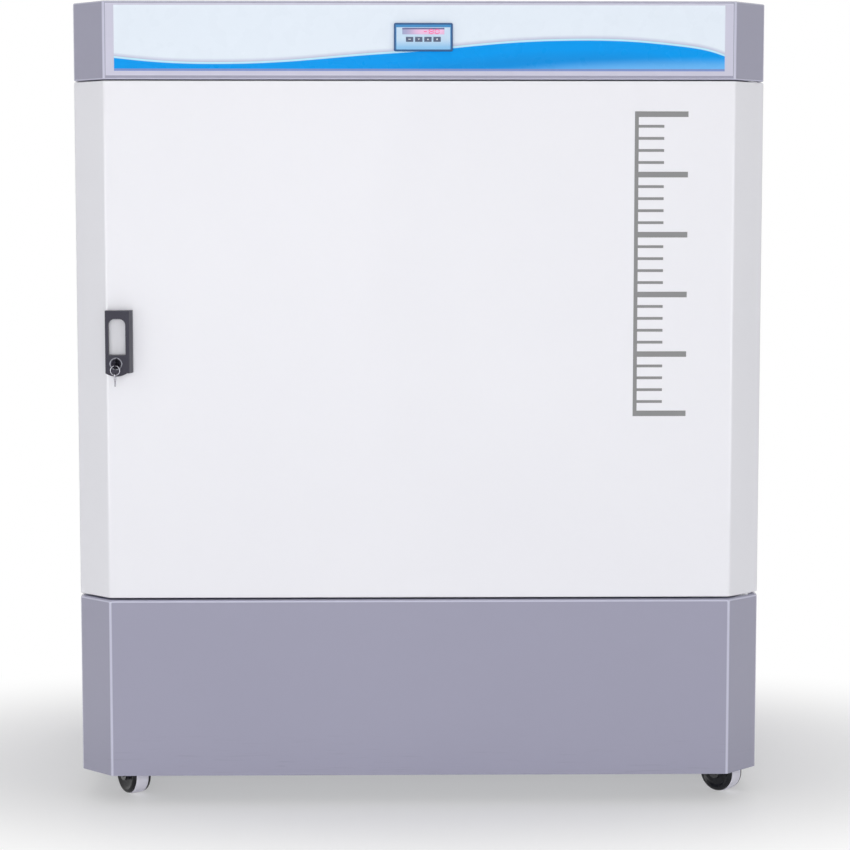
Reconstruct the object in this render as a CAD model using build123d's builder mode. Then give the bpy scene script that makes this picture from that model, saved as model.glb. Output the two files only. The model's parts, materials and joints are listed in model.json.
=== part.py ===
from build123d import *
import math
import os

os.makedirs("parts", exist_ok=True)

# Driving dimensions of the cabinet, in millimetres
cabinet_width = 1250
cabinet_depth = 790
corner_chamfer = 61
floor_clearance = 52
base_height = 325
door_height = 932.5
header_height = 139
door_gap = 4
door_top_gap = 2
door_thickness = 100
gasket_gap = 12
wall_thickness = 110
sheet = 1.5
bend_radius = 9
edge_radius = 2.5
base_edge_radius = 5
seam = 0.5
overrun = 4

# Running and seating clearances
running_clearance = 0.05
seat_clearance = 0.3

# Handle, lock and key
handle_width = 47
handle_height = 112
handle_depth = 30
handle_edge_inset = 0.5
handle_bar_depth = 15
handle_crown = 6
handle_radius = 2
window_width = 30.5
window_sill_height = 32
window_height = 65
window_left_bar = 6
window_arch_radius = 11
lock_height = 428.5
lock_inset = 19.5
lock_to_handle_bottom = 17
collar_radius = 11.5
collar_proud = 2.5
barrel_radius = 9
barrel_depth = 28
barrel_nut_radius = 13
barrel_nut_depth = 6
plug_radius = 4.95
cam_depth = 58
cam_thickness = 3
cam_reach = 24
cam_half_width = 5
cam_nut_radius = 6
cam_nut_depth = 4
key_head_radius = 10
key_hole_radius = 4
key_thickness = 2.2
key_neck = 4
key_blade_depth = 22
key_blade_width = 8
ring_wire_radius = 0.8
ring_inner_radius = 7.5
ring_play = 0.3
spare_head_radius = 8
spare_hole_radius = 3
spare_rim = 2.5
spare_blade_width = 7
spare_blade_length = 8

# Stops that keep the cabinet off a wall
stop_length = 20
stop_radius = 20
stop_inset = 175
stop_drop = 62

# Places worked out from the driving dimensions
half_width = cabinet_width / 2
key_reach = collar_proud + key_neck + 2 * key_head_radius
front_reach = handle_depth + key_reach
overall_depth = front_reach + cabinet_depth + stop_length
front_y = front_reach - overall_depth / 2
rear_y = front_y + cabinet_depth
mid_y = (front_y + rear_y) / 2
door_rear = front_y + door_thickness
case_front = door_rear + gasket_gap
base_bottom = floor_clearance
base_top = base_bottom + base_height
case_bottom = base_top - sheet
door_bottom = base_top + door_gap
door_top = door_bottom + door_height
header_bottom = door_top + door_top_gap
header_top = header_bottom + header_height


def block(x_range, y_range, z_range, mode=Mode.ADD):
    """Add a box between pairs of coordinates to the part in hand, or cut it."""
    low = Vector(x_range[0], y_range[0], z_range[0])
    high = Vector(x_range[1], y_range[1], z_range[1])
    size = high - low
    with Locations((low + high) / 2):
        Box(size.X, size.Y, size.Z, mode=mode)


def rod(radius, start, end, mode=Mode.ADD):
    """Add a round bar between two points to the part in hand, or cut it."""
    run = Vector(end) - Vector(start)
    with Locations(Plane(origin=start, z_dir=run)):
        Cylinder(radius, run.length, align=(Align.CENTER, Align.CENTER, Align.MIN), mode=mode)


def cabinet_slab(z_range, inset, rear, mode=Mode.ADD):
    """Add a slab with the cabinet's plan, its front corners cut and bent round."""
    side = half_width - inset
    front = front_y + inset
    cut = corner_chamfer - inset * (2 - math.sqrt(2))
    with BuildSketch(Plane.XY.offset(z_range[0])) as plan:
        with BuildLine():
            Polyline(
                (-side, rear),
                (-side, front + cut),
                (-side + cut, front),
                (side - cut, front),
                (side, front + cut),
                (side, rear),
                close=True,
            )
        make_face()
        fillet(plan.vertices().sort_by(Axis.Y)[:-2], radius=bend_radius - inset)
    extrude(plan.sketch, amount=z_range[1] - z_range[0], mode=mode)


def rim_edges(face):
    """Edges of a plan face, all but the one along the rear."""
    return face.edges().sort_by(Axis.Y)[:-1]


def centred(middle, length):
    """Pair of coordinates of a length about its middle."""
    return (middle - length / 2, middle + length / 2)


# Outer case: folded steel shell, open at the front inside a narrow flange
case_flange = 50
case_inner_x = half_width - sheet
case_opening_x = half_width - case_flange
tail_clearance = 1
liner_sheet = 1.2
cascade_share = 0.368
feed_tail_offset = 110
return_tail_inset = 65
chamber_x = half_width - wall_thickness
cascade_x = -half_width * cascade_share
feed_tail_x = cascade_x - feed_tail_offset
return_tail_x = chamber_x - return_tail_inset
chamber_bottom = case_bottom + wall_thickness
chamber_top = header_bottom - wall_thickness
chamber_rear = rear_y - wall_thickness
coil_thickness = 8
tail_radius = coil_thickness / 2
tail_y = chamber_rear + liner_sheet + coil_thickness / 2
tail_places = ((feed_tail_x, tail_y), (return_tail_x, tail_y))


def tail_holes(z_range, clearance):
    """Cut the two ways that the evaporator's tails take through a floor."""
    for tail_x, y in tail_places:
        rod(tail_radius + clearance, (tail_x, y, z_range[0]), (tail_x, y, z_range[1]),
            mode=Mode.SUBTRACT)


with BuildPart() as outer_case:
    block((-half_width, half_width), (case_front, rear_y), (case_bottom, header_bottom))
    block(
        (-case_inner_x, case_inner_x),
        (case_front + sheet, rear_y - sheet),
        (case_bottom + sheet, header_bottom - sheet),
        mode=Mode.SUBTRACT,
    )
    block(
        (-case_opening_x, case_opening_x),
        (case_front - overrun, case_front + 2 * sheet),
        (case_bottom + case_flange, header_bottom - case_flange),
        mode=Mode.SUBTRACT,
    )
    tail_holes((case_bottom - overrun, case_bottom + 2 * sheet), tail_clearance)
outer_case.part.label = "outer_case"
export_step(outer_case.part, "parts/outer_case.step")

# Inner liner: stainless tub that forms the chamber
breaker_depth = 25
breaker_sheet = 3
liner_front = case_front + breaker_depth
liner_outer_x = chamber_x + liner_sheet

with BuildPart() as inner_liner:
    block(
        (-liner_outer_x, liner_outer_x),
        (liner_front, chamber_rear + liner_sheet),
        (chamber_bottom - liner_sheet, chamber_top + liner_sheet),
    )
    block(
        (-chamber_x, chamber_x),
        (liner_front - overrun, chamber_rear),
        (chamber_bottom, chamber_top),
        mode=Mode.SUBTRACT,
    )
inner_liner.part.label = "inner_liner"
export_step(inner_liner.part, "parts/inner_liner.step")

# Thermal break: plastic frame between the warm case and the cold liner
with BuildPart() as breaker_frame:
    block(
        (-case_opening_x, case_opening_x),
        (case_front, case_front + breaker_sheet),
        (case_bottom + case_flange, header_bottom - case_flange),
    )
    block(
        (-chamber_x - breaker_sheet, chamber_x + breaker_sheet),
        (case_front, liner_front),
        (chamber_bottom - breaker_sheet, chamber_top + breaker_sheet),
    )
    block(
        (-chamber_x, chamber_x),
        (case_front - overrun, liner_front + overrun),
        (chamber_bottom, chamber_top),
        mode=Mode.SUBTRACT,
    )
breaker_frame.part.label = "breaker_frame"
export_step(breaker_frame.part, "parts/breaker_frame.step")

# Evaporator: flattened tube wound round the sides and back of the liner
coil_height = 10
coil_turns = 7
coil_setback = 45
coil_front = liner_front + coil_setback
coil_outer_x = liner_outer_x + coil_thickness
coil_rear = chamber_rear + liner_sheet + coil_thickness
coil_pitch = (chamber_top - chamber_bottom) / coil_turns
tail_drop = 45
tail_bottom = case_bottom - tail_drop


def evaporator_shape(mode=Mode.ADD):
    """Add the wound tube and its two tails to the part in hand, or cut them."""
    for turn in range(coil_turns):
        level = chamber_bottom + coil_pitch * turn + coil_pitch / 2
        z_range = centred(level, coil_height)
        for side in (-1, 1):
            x_range = sorted((side * liner_outer_x, side * coil_outer_x))
            block(x_range, (coil_front, coil_rear), z_range, mode=mode)
        rear_wall = chamber_rear + liner_sheet
        block((-coil_outer_x, coil_outer_x), (rear_wall, coil_rear), z_range, mode=mode)
        if turn < coil_turns - 1:
            side = 1 if turn % 2 else -1
            x_range = sorted((side * liner_outer_x, side * coil_outer_x))
            y_range = (coil_front, coil_front + coil_height)
            block(x_range, y_range, (level, level + coil_pitch), mode=mode)
    low_level = chamber_bottom + coil_pitch / 2
    for tail_x, y in tail_places:
        rod(tail_radius, (tail_x, y, tail_bottom), (tail_x, y, low_level), mode=mode)


with BuildPart() as evaporator_coil:
    evaporator_shape()
evaporator_coil.part.label = "evaporator_coil"
export_step(evaporator_coil.part, "parts/evaporator_coil.step")

# Foamed insulation between case and liner
with BuildPart() as insulation:
    block(
        (-case_inner_x, case_inner_x),
        (case_front + sheet, rear_y - sheet),
        (case_bottom + sheet, header_bottom - sheet),
    )
    block(
        (-case_opening_x, case_opening_x),
        (case_front, case_front + breaker_sheet),
        (case_bottom + case_flange, header_bottom - case_flange),
        mode=Mode.SUBTRACT,
    )
    block(
        (-chamber_x - breaker_sheet, chamber_x + breaker_sheet),
        (case_front, liner_front),
        (chamber_bottom - breaker_sheet, chamber_top + breaker_sheet),
        mode=Mode.SUBTRACT,
    )
    block(
        (-liner_outer_x, liner_outer_x),
        (liner_front, chamber_rear + liner_sheet),
        (chamber_bottom - liner_sheet, chamber_top + liner_sheet),
        mode=Mode.SUBTRACT,
    )
    evaporator_shape(mode=Mode.SUBTRACT)
insulation.part.label = "insulation"
export_step(insulation.part, "parts/insulation.step")

# Inner doors: two insulated panels in the chamber's mouth, hung on the right
inner_gap = 4
inner_setback = 3
inner_thickness = 40
inner_radius = 3
inner_pivot_setback = 6
inner_pivot_inset = 12
inner_pin_radius = 3
inner_pin_length = 12
inner_plate = 3
inner_plate_reach = 9
inner_pull_width = 14
inner_pull_height = 90
inner_pull_inset = 40
inner_pull_depth = 7
inner_play = 0.3
inner_front = case_front + inner_setback
inner_rear = inner_front + inner_thickness
inner_pivot_x = chamber_x - inner_pivot_inset
inner_pivot_y = inner_front + inner_pivot_setback
chamber_middle = (chamber_bottom + chamber_top) / 2
inner_door_x = chamber_x - inner_gap
inner_levels = {
    "lower": (chamber_bottom + inner_plate + inner_play, chamber_middle - inner_plate / 2 - inner_play),
    "upper": (chamber_middle + inner_plate / 2 + inner_play, chamber_top - inner_plate - inner_play),
}

for level_name, z_range in inner_levels.items():
    with BuildPart() as inner_door:
        block((-inner_door_x, inner_door_x), (inner_front, inner_rear), z_range)
        fillet(inner_door.edges().filter_by(Axis.Z), radius=inner_radius)
        pull_x = -inner_door_x + inner_pull_inset
        block(
            centred(pull_x, inner_pull_width),
            (inner_front - inner_pull_depth, inner_front),
            centred(sum(z_range) / 2, inner_pull_height),
        )
        for end, way in ((z_range[0], 1), (z_range[1], -1)):
            rod(
                inner_pin_radius + running_clearance,
                (inner_pivot_x, inner_pivot_y, end),
                (inner_pivot_x, inner_pivot_y, end + way * (inner_pin_length + overrun)),
                mode=Mode.SUBTRACT,
            )
    inner_door.part.label = f"inner_door_{level_name}"
    export_step(inner_door.part, f"parts/inner_door_{level_name}.step")

# Plates and pins that carry the inner doors
with BuildPart() as inner_hinge_pins:
    for z_low, ways in (
        (chamber_bottom, (1,)),
        (chamber_middle - inner_plate / 2, (1, -1)),
        (chamber_top - inner_plate, (-1,)),
    ):
        block(
            (inner_pivot_x - inner_plate_reach, chamber_x),
            (inner_pivot_y - inner_pivot_setback, inner_rear),
            (z_low, z_low + inner_plate),
        )
        for way in ways:
            start = z_low + inner_plate if way > 0 else z_low
            rod(
                inner_pin_radius,
                (inner_pivot_x, inner_pivot_y, start),
                (inner_pivot_x, inner_pivot_y, start + way * inner_pin_length),
            )
inner_hinge_pins.part.label = "inner_hinge_pins"
export_step(inner_hinge_pins.part, "parts/inner_hinge_pins.step")

# Shelf rails: four slotted uprights with clips under each shelf
rail_width = 24
rail_thickness = 3
rail_front_gap = 40
rail_front_y = inner_rear + rail_front_gap
rail_rear_gap = 60
rail_rear_y = chamber_rear - rail_rear_gap
rail_margin = 10
clip_reach = 12
clip_height = 6
shelf_count = 3
shelf_spacing = (chamber_top - chamber_bottom) / (shelf_count + 1)
shelf_levels = [chamber_bottom + shelf_spacing * (index + 1) for index in range(shelf_count)]
rail_inner_x = chamber_x - rail_thickness

with BuildPart() as shelf_rails:
    for side in (-1, 1):
        for rail_y in (rail_front_y, rail_rear_y):
            block(
                sorted((side * rail_inner_x, side * chamber_x)),
                centred(rail_y, rail_width),
                (chamber_bottom + rail_margin, chamber_top - rail_margin),
            )
            for level in shelf_levels:
                block(
                    sorted((side * (rail_inner_x - clip_reach), side * rail_inner_x)),
                    centred(rail_y, rail_width / 2),
                    (level - clip_height, level),
                )
shelf_rails.part.label = "shelf_rails"
export_step(shelf_rails.part, "parts/shelf_rails.step")

# Shelves: stainless sheet with a lip turned down at front and rear
shelf_sheet = 2
shelf_lip = 18
shelf_front_gap = 12
shelf_rear_gap = 10
shelf_x = rail_inner_x - seat_clearance
shelf_front = inner_rear + shelf_front_gap
shelf_rear = chamber_rear - shelf_rear_gap

for shelf_name, level in zip(("lower", "middle", "upper"), shelf_levels):
    with BuildPart() as shelf:
        block((-shelf_x, shelf_x), (shelf_front, shelf_rear), (level, level + shelf_sheet))
        lip_range = (level - shelf_lip, level + shelf_sheet)
        block((-shelf_x, shelf_x), (shelf_front, shelf_front + shelf_sheet), lip_range)
        block((-shelf_x, shelf_x), (shelf_rear - shelf_sheet, shelf_rear), lip_range)
    shelf.part.label = f"shelf_{shelf_name}"
    export_step(shelf.part, f"parts/shelf_{shelf_name}.step")

# Door skin: folded steel pan with cut front corners
pivot_inset = 26
pivot_depth = 55
pin_radius = 6
bush_radius = 9
bush_length = 25
bush_flange_radius = 13
hinge_plate = 3
bush_flange = door_gap - hinge_plate
pivot_x = half_width - pivot_inset
pivot_y = front_y + pivot_depth
handle_left = -(half_width - corner_chamfer) + handle_edge_inset
handle_right = handle_left + handle_width
lock_x = handle_left + lock_inset
lock_z = door_bottom + lock_height
door_panel_sheet = 2
foam_rear = door_rear - door_panel_sheet
slot_left = 14
slot_right = 32
slot_below = 32
slot_above = 22
pocket_wall = 2
pocket_x = (lock_x - slot_left, lock_x + slot_right)
pocket_z = (lock_z - slot_below, lock_z + slot_above)


def grown(pair, amount):
    """Pair of coordinates moved apart at both ends."""
    return (pair[0] - amount, pair[1] + amount)


def bush_bores(radius):
    """Cut the two upright seats for the hinge bushes."""
    rod(radius, (pivot_x, pivot_y, door_bottom - overrun), (pivot_x, pivot_y, door_bottom + bush_length),
        mode=Mode.SUBTRACT)
    rod(radius, (pivot_x, pivot_y, door_top - bush_length), (pivot_x, pivot_y, door_top + overrun),
        mode=Mode.SUBTRACT)


with BuildPart() as door_skin:
    cabinet_slab((door_bottom, door_top), 0, door_rear)
    door_rims = door_skin.faces().sort_by(Axis.Z)
    fillet(rim_edges(door_rims[0]) + rim_edges(door_rims[-1]), radius=edge_radius)
    cabinet_slab(
        (door_bottom + sheet, door_top - sheet), sheet, door_rear + overrun, mode=Mode.SUBTRACT
    )
    bush_bores(bush_radius + running_clearance)
    rod(
        barrel_radius + running_clearance,
        (lock_x, front_y - overrun, lock_z),
        (lock_x, front_y + 2 * sheet, lock_z),
        mode=Mode.SUBTRACT,
    )
door_skin.part.label = "door_skin"
export_step(door_skin.part, "parts/door_skin.step")

# Door foam
with BuildPart() as door_foam:
    cabinet_slab((door_bottom + sheet, door_top - sheet), sheet, foam_rear)
    bush_bores(bush_radius + running_clearance)
    block(
        grown(pocket_x, pocket_wall),
        (front_y - overrun, foam_rear + overrun),
        grown(pocket_z, pocket_wall),
        mode=Mode.SUBTRACT,
    )
door_foam.part.label = "door_foam"
export_step(door_foam.part, "parts/door_foam.step")

# Door liner: flat inner panel with the slot for the strike
with BuildPart() as door_liner:
    block(
        (-case_inner_x, case_inner_x),
        (foam_rear, door_rear),
        (door_bottom + sheet, door_top - sheet),
    )
    block(pocket_x, (foam_rear - overrun, door_rear + overrun), pocket_z, mode=Mode.SUBTRACT)
door_liner.part.label = "door_liner"
export_step(door_liner.part, "parts/door_liner.step")

# Latch pocket: open-backed box in the foam, round the lock's tail
pocket_front = front_y + sheet
with BuildPart() as latch_pocket:
    block(grown(pocket_x, pocket_wall), (pocket_front, foam_rear), grown(pocket_z, pocket_wall))
    block(
        pocket_x, (pocket_front + pocket_wall, foam_rear + overrun), pocket_z, mode=Mode.SUBTRACT
    )
    rod(
        barrel_radius + running_clearance,
        (lock_x, pocket_front - overrun, lock_z),
        (lock_x, pocket_front + 2 * pocket_wall, lock_z),
        mode=Mode.SUBTRACT,
    )
latch_pocket.part.label = "latch_pocket"
export_step(latch_pocket.part, "parts/latch_pocket.step")

# Door gasket: rubber ring that lands on the thermal break
gasket_inset_x = 60
gasket_inset_z = 50
gasket_width = 30
gasket_outer_x = half_width - gasket_inset_x
gasket_inner_x = gasket_outer_x - gasket_width
gasket_outer_z = (door_bottom + gasket_inset_z, door_top - gasket_inset_z)

with BuildPart() as door_gasket:
    block(
        (-gasket_outer_x, gasket_outer_x),
        (door_rear, case_front - seat_clearance),
        gasket_outer_z,
    )
    block(
        (-gasket_inner_x, gasket_inner_x),
        (door_rear - overrun, case_front + overrun),
        grown(gasket_outer_z, -gasket_width),
        mode=Mode.SUBTRACT,
    )
    fillet(door_gasket.edges().filter_by(Axis.Y), radius=bend_radius)
door_gasket.part.label = "door_gasket"
export_step(door_gasket.part, "parts/door_gasket.step")

# Hinges: a bracket on the case below, a plate inside the header above, and bushes in the door
bracket_inner_inset = 125
bracket_outer_inset = 57
bracket_inner_x = half_width - bracket_inner_inset
bracket_outer_x = half_width - bracket_outer_inset
bracket_flange_height = 38
tongue_margin = 7
pin_hole_clearance = 0.5
hinge_foot = 40
pin_play = 1
tongue_x = (bracket_inner_x, pivot_x + tongue_margin)
tongue_y = (pivot_y - tongue_margin, case_front)
flange_y = (case_front - hinge_plate, case_front)
top_plate = header_bottom + sheet

with BuildPart() as door_hinges:
    block(tongue_x, tongue_y, (base_top, base_top + hinge_plate))
    block((bracket_inner_x, bracket_outer_x), flange_y, (base_top, base_top + bracket_flange_height))
    rod(
        pin_radius,
        (pivot_x, pivot_y, base_top + hinge_plate),
        (pivot_x, pivot_y, door_bottom + bush_length - pin_play),
    )
    block(tongue_x, tongue_y, (top_plate, top_plate + hinge_plate))
    block(tongue_x, (case_front, case_front + hinge_foot), (header_bottom, top_plate + hinge_plate))
    rod(
        pin_radius,
        (pivot_x, pivot_y, door_top - bush_length + pin_play),
        (pivot_x, pivot_y, top_plate),
    )
door_hinges.part.label = "door_hinges"
export_step(door_hinges.part, "parts/door_hinges.step")

with BuildPart() as door_bushes:
    for flange_range, sleeve_range in (
        ((door_bottom - bush_flange, door_bottom), (door_bottom, door_bottom + bush_length)),
        ((door_top, door_top + bush_flange), (door_top - bush_length, door_top)),
    ):
        rod(bush_flange_radius, (pivot_x, pivot_y, flange_range[0]), (pivot_x, pivot_y, flange_range[1]))
        rod(bush_radius, (pivot_x, pivot_y, sleeve_range[0]), (pivot_x, pivot_y, sleeve_range[1]))
    rod(
        pin_radius + running_clearance,
        (pivot_x, pivot_y, door_bottom - bush_flange - overrun),
        (pivot_x, pivot_y, door_top + bush_flange + overrun),
        mode=Mode.SUBTRACT,
    )
door_bushes.part.label = "door_bushes"
export_step(door_bushes.part, "parts/door_bushes.step")

# Handle: black frame with a grip window, on two end blocks
handle_front = front_y - handle_depth
handle_bottom = lock_z - lock_to_handle_bottom
handle_top = handle_bottom + handle_height
window_bottom = handle_bottom + window_sill_height
window_top = window_bottom + window_height
window_x = (handle_left + window_left_bar, handle_left + window_left_bar + window_width)
window_sill_radius = 2
handle_slope_across = 4
handle_slope_deep = 18

with BuildPart() as door_handle:
    with BuildSketch(Plane.XZ.offset(-front_y)) as handle_face:
        with BuildLine():
            Line((handle_left, handle_bottom), (handle_left, handle_top))
            Line((handle_left, handle_top), (handle_right, handle_top))
            Line((handle_right, handle_top), (handle_right, handle_bottom))
            Line((handle_right, handle_bottom), (lock_x + lock_inset, handle_bottom))
            ThreePointArc(
                (lock_x + lock_inset, handle_bottom),
                (lock_x, handle_bottom - handle_crown),
                (handle_left, handle_bottom),
            )
        make_face()
    extrude(amount=handle_depth)
    slope_edge = door_handle.edges().filter_by(Axis.Z).group_by(Axis.Y)[0].sort_by(Axis.X)[-1]
    slope_face = door_handle.faces().sort_by(Axis.X)[-1]
    chamfer(slope_edge, length=handle_slope_deep, length2=handle_slope_across, reference=slope_face)
    fillet(door_handle.faces().sort_by(Axis.Y)[0].edges(), radius=handle_radius)
    with BuildSketch(Plane.XZ.offset(-front_y)) as handle_window:
        with BuildLine():
            Polyline(
                (window_x[0], window_bottom),
                (window_x[1], window_bottom),
                (window_x[1], window_top),
                (window_x[0], window_top),
                close=True,
            )
        make_face()
        fillet(handle_window.vertices().group_by(Axis.Y)[0], radius=window_sill_radius)
        fillet(handle_window.vertices().group_by(Axis.Y)[-1], radius=window_arch_radius)
    extrude(amount=handle_depth + overrun, mode=Mode.SUBTRACT)
    block(
        (handle_left - overrun, window_x[1]),
        (handle_front + handle_bar_depth, front_y + overrun),
        (window_bottom, window_top),
        mode=Mode.SUBTRACT,
    )
    rod(
        barrel_radius + running_clearance,
        (lock_x, front_y + overrun, lock_z),
        (lock_x, handle_front - overrun, lock_z),
        mode=Mode.SUBTRACT,
    )
door_handle.part.label = "door_handle"
export_step(door_handle.part, "parts/door_handle.step")

# Lock barrel: chromed collar, threaded body and nut
collar_front = handle_front - collar_proud
barrel_rear = front_y + barrel_depth
nut_front = pocket_front + pocket_wall
collar_edge = 0.8

with BuildPart() as lock_barrel:
    rod(collar_radius, (lock_x, handle_front, lock_z), (lock_x, collar_front, lock_z))
    fillet(lock_barrel.edges().group_by(Axis.Y)[0], radius=collar_edge)
    rod(barrel_radius, (lock_x, barrel_rear, lock_z), (lock_x, handle_front, lock_z))
    with BuildSketch(Plane.XZ.offset(-nut_front)) as nut_plan:
        with Locations((lock_x, lock_z)):
            RegularPolygon(barrel_nut_radius, 6)
    extrude(amount=-barrel_nut_depth)
    rod(
        plug_radius + running_clearance,
        (lock_x, barrel_rear + overrun, lock_z),
        (lock_x, collar_front - overrun, lock_z),
        mode=Mode.SUBTRACT,
    )
lock_barrel.part.label = "lock_barrel"
export_step(lock_barrel.part, "parts/lock_barrel.step")

# Lock plug with its cam, drawn unlocked with the cam hanging down
cam_front = front_y + cam_depth
cam_rear = cam_front + cam_thickness
key_slot_play = 0.1
key_slot_x = centred(lock_x, key_thickness + 2 * key_slot_play)
key_slot_z = centred(lock_z, key_blade_width + 2 * key_slot_play)
key_tip = collar_front + key_blade_depth

with BuildPart() as lock_plug:
    rod(plug_radius, (lock_x, cam_front, lock_z), (lock_x, collar_front, lock_z))
    block(
        key_slot_x,
        (collar_front - overrun, key_tip + key_slot_play),
        key_slot_z,
        mode=Mode.SUBTRACT,
    )
    block(
        (lock_x - cam_half_width, lock_x + cam_half_width),
        (cam_front, cam_rear),
        (lock_z - cam_reach, lock_z + cam_half_width),
    )
    rod(cam_nut_radius, (lock_x, cam_rear, lock_z), (lock_x, cam_rear + cam_nut_depth, lock_z))
lock_plug.part.label = "lock_plug"
export_step(lock_plug.part, "parts/lock_plug.step")

# Key in the lock, its round head upright
key_head_y = collar_front - key_neck - key_head_radius

with BuildPart() as door_key:
    rod(
        key_head_radius,
        (lock_x - key_thickness / 2, key_head_y, lock_z),
        (lock_x + key_thickness / 2, key_head_y, lock_z),
    )
    block(
        centred(lock_x, key_thickness),
        (key_head_y, key_tip),
        centred(lock_z, key_blade_width),
    )
    rod(
        key_hole_radius,
        (lock_x - key_thickness, key_head_y, lock_z),
        (lock_x + key_thickness, key_head_y, lock_z),
        mode=Mode.SUBTRACT,
    )
door_key.part.label = "door_key"
export_step(door_key.part, "parts/door_key.step")

# Split ring through the key's head, with the spare key hanging on it
rim_middle = (key_head_radius + key_hole_radius) / 2
rim_corner = math.hypot((key_head_radius - key_hole_radius) / 2, key_thickness / 2)
ring_pivot_z = lock_z - rim_middle
ring_centre_z = ring_pivot_z + rim_corner + ring_play - ring_inner_radius
ring_floor_z = ring_centre_z - ring_inner_radius
spare_top_z = ring_floor_z + ring_play + spare_rim
spare_hole_z = spare_top_z - spare_rim - spare_hole_radius
spare_head_z = spare_top_z - spare_head_radius
spare_tip_z = spare_head_z - spare_head_radius - spare_blade_length

ring_centre = (lock_x, key_head_y, ring_centre_z)

with BuildPart() as key_ring:
    with BuildSketch(Plane(origin=ring_centre)) as ring_wire:
        with Locations((ring_inner_radius + ring_wire_radius, 0)):
            Circle(ring_wire_radius)
    rod(
        spare_head_radius,
        (lock_x - key_thickness / 2, key_head_y, spare_head_z),
        (lock_x + key_thickness / 2, key_head_y, spare_head_z),
    )
    block(
        centred(lock_x, key_thickness),
        centred(key_head_y, spare_blade_width),
        (spare_tip_z, spare_head_z),
    )
    rod(
        spare_hole_radius,
        (lock_x - key_thickness, key_head_y, spare_hole_z),
        (lock_x + key_thickness, key_head_y, spare_hole_z),
        mode=Mode.SUBTRACT,
    )
    revolve(ring_wire.sketch, axis=Axis(ring_centre, (0, 1, 0)))
key_ring.part.label = "key_ring"
export_step(key_ring.part, "parts/key_ring.step")

# Strike: steel tongue on the case that the cam reaches through
strike_offset = 20
strike_sheet = 3
strike_below = 25
strike_above = 14
strike_window_below = 18.5
strike_window_above = 7.5
strike_window_play = 2
strike_tip = 4
strike_foot_height = 60
strike_foot_reach = 10
strike_x = lock_x + strike_offset

with BuildPart() as latch_strike:
    block(
        centred(strike_x, strike_sheet),
        (cam_front - strike_window_play - strike_tip, case_front - strike_sheet),
        (lock_z - strike_below, lock_z + strike_above),
    )
    block(
        (strike_x - strike_foot_reach, -chamber_x),
        (case_front - strike_sheet, case_front),
        centred(lock_z, strike_foot_height),
    )
    block(
        grown(centred(strike_x, strike_sheet), overrun),
        (cam_front - strike_window_play, cam_rear + strike_window_play),
        (lock_z - strike_window_below, lock_z + strike_window_above),
        mode=Mode.SUBTRACT,
    )
latch_strike.part.label = "latch_strike"
export_step(latch_strike.part, "parts/latch_strike.step")

# Header shell: control housing above the door, with a pocket for its panel
panel_thickness = 2.5
panel_margin = 4
panel_lip_bottom = 7
panel_lip_top = 4
panel_x = half_width - corner_chamfer - panel_margin
panel_z = (header_bottom + panel_lip_bottom, header_top - panel_lip_top)
controller_x = 6
controller_height = 74.6
controller_width = 105
controller_tall = 50
controller_proud = 7
controller_body_width = 91
controller_body_tall = 44
controller_body_depth = 70
cutout_clearance = 0.5
controller_z = header_bottom + controller_height
header_cavity_front = front_y + panel_thickness + sheet


def controller_cutout():
    """Cut the hole that the controller's body passes through."""
    block(
        centred(controller_x, controller_body_width + 2 * cutout_clearance),
        (front_y - overrun, header_cavity_front + overrun),
        centred(controller_z, controller_body_tall + 2 * cutout_clearance),
        mode=Mode.SUBTRACT,
    )


with BuildPart() as header_shell:
    cabinet_slab((header_bottom, header_top), 0, rear_y)
    header_rims = header_shell.faces().sort_by(Axis.Z)
    fillet(rim_edges(header_rims[0]) + rim_edges(header_rims[-1]), radius=edge_radius)
    cabinet_slab(
        (header_bottom + sheet, header_top - sheet), sheet, rear_y - sheet, mode=Mode.SUBTRACT
    )
    block(
        (-case_inner_x, case_inner_x),
        (case_front, rear_y - sheet),
        (header_bottom - overrun, header_bottom + 2 * sheet),
        mode=Mode.SUBTRACT,
    )
    block(
        (-panel_x - sheet, panel_x + sheet),
        (front_y + sheet / 2, header_cavity_front),
        (header_bottom + sheet / 2, header_top - sheet / 2),
    )
    block(
        (-panel_x, panel_x),
        (front_y - overrun, front_y + panel_thickness),
        panel_z,
        mode=Mode.SUBTRACT,
    )
    rod(
        pin_radius + pin_hole_clearance,
        (pivot_x, pivot_y, header_bottom - overrun),
        (pivot_x, pivot_y, header_bottom + overrun),
        mode=Mode.SUBTRACT,
    )
    controller_cutout()
header_shell.part.label = "header_shell"
export_step(header_shell.part, "parts/header_shell.step")

# Panel bezel and the printed overlay that lies in it
overlay_thickness = 0.5
overlay_width = 1090
overlay_bottom = 15
overlay_top = 7.5
overlay_z = (header_bottom + overlay_bottom, header_top - overlay_top)

with BuildPart() as panel_bezel:
    block((-panel_x, panel_x), (front_y, front_y + panel_thickness), panel_z)
    block(
        centred(0, overlay_width),
        (front_y - overrun, front_y + overlay_thickness),
        overlay_z,
        mode=Mode.SUBTRACT,
    )
    controller_cutout()
panel_bezel.part.label = "panel_bezel"
export_step(panel_bezel.part, "parts/panel_bezel.step")

with BuildPart() as control_overlay:
    block(centred(0, overlay_width), (front_y, front_y + overlay_thickness), overlay_z)
    controller_cutout()
control_overlay.part.label = "control_overlay"
export_step(control_overlay.part, "parts/control_overlay.step")

# Temperature controller with its display window and four keys
controller_front = front_y - controller_proud
controller_corner = 3
controller_edge = 1
display_width = 75
display_height = 11.5
display_rise = 10.5
display_depth = 2
key_count = 4
button_width = 12.5
button_height = 8
button_pitch = 16.3
button_drop = 4
button_proud = 1.5
button_travel = 0.8
button_well = 3.4
display_z = controller_z + display_rise
button_z = controller_z - button_drop
button_names = ("set", "down", "up", "mute")
button_places = [
    controller_x + button_pitch * (index - (key_count - 1) / 2) for index in range(key_count)
]

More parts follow.
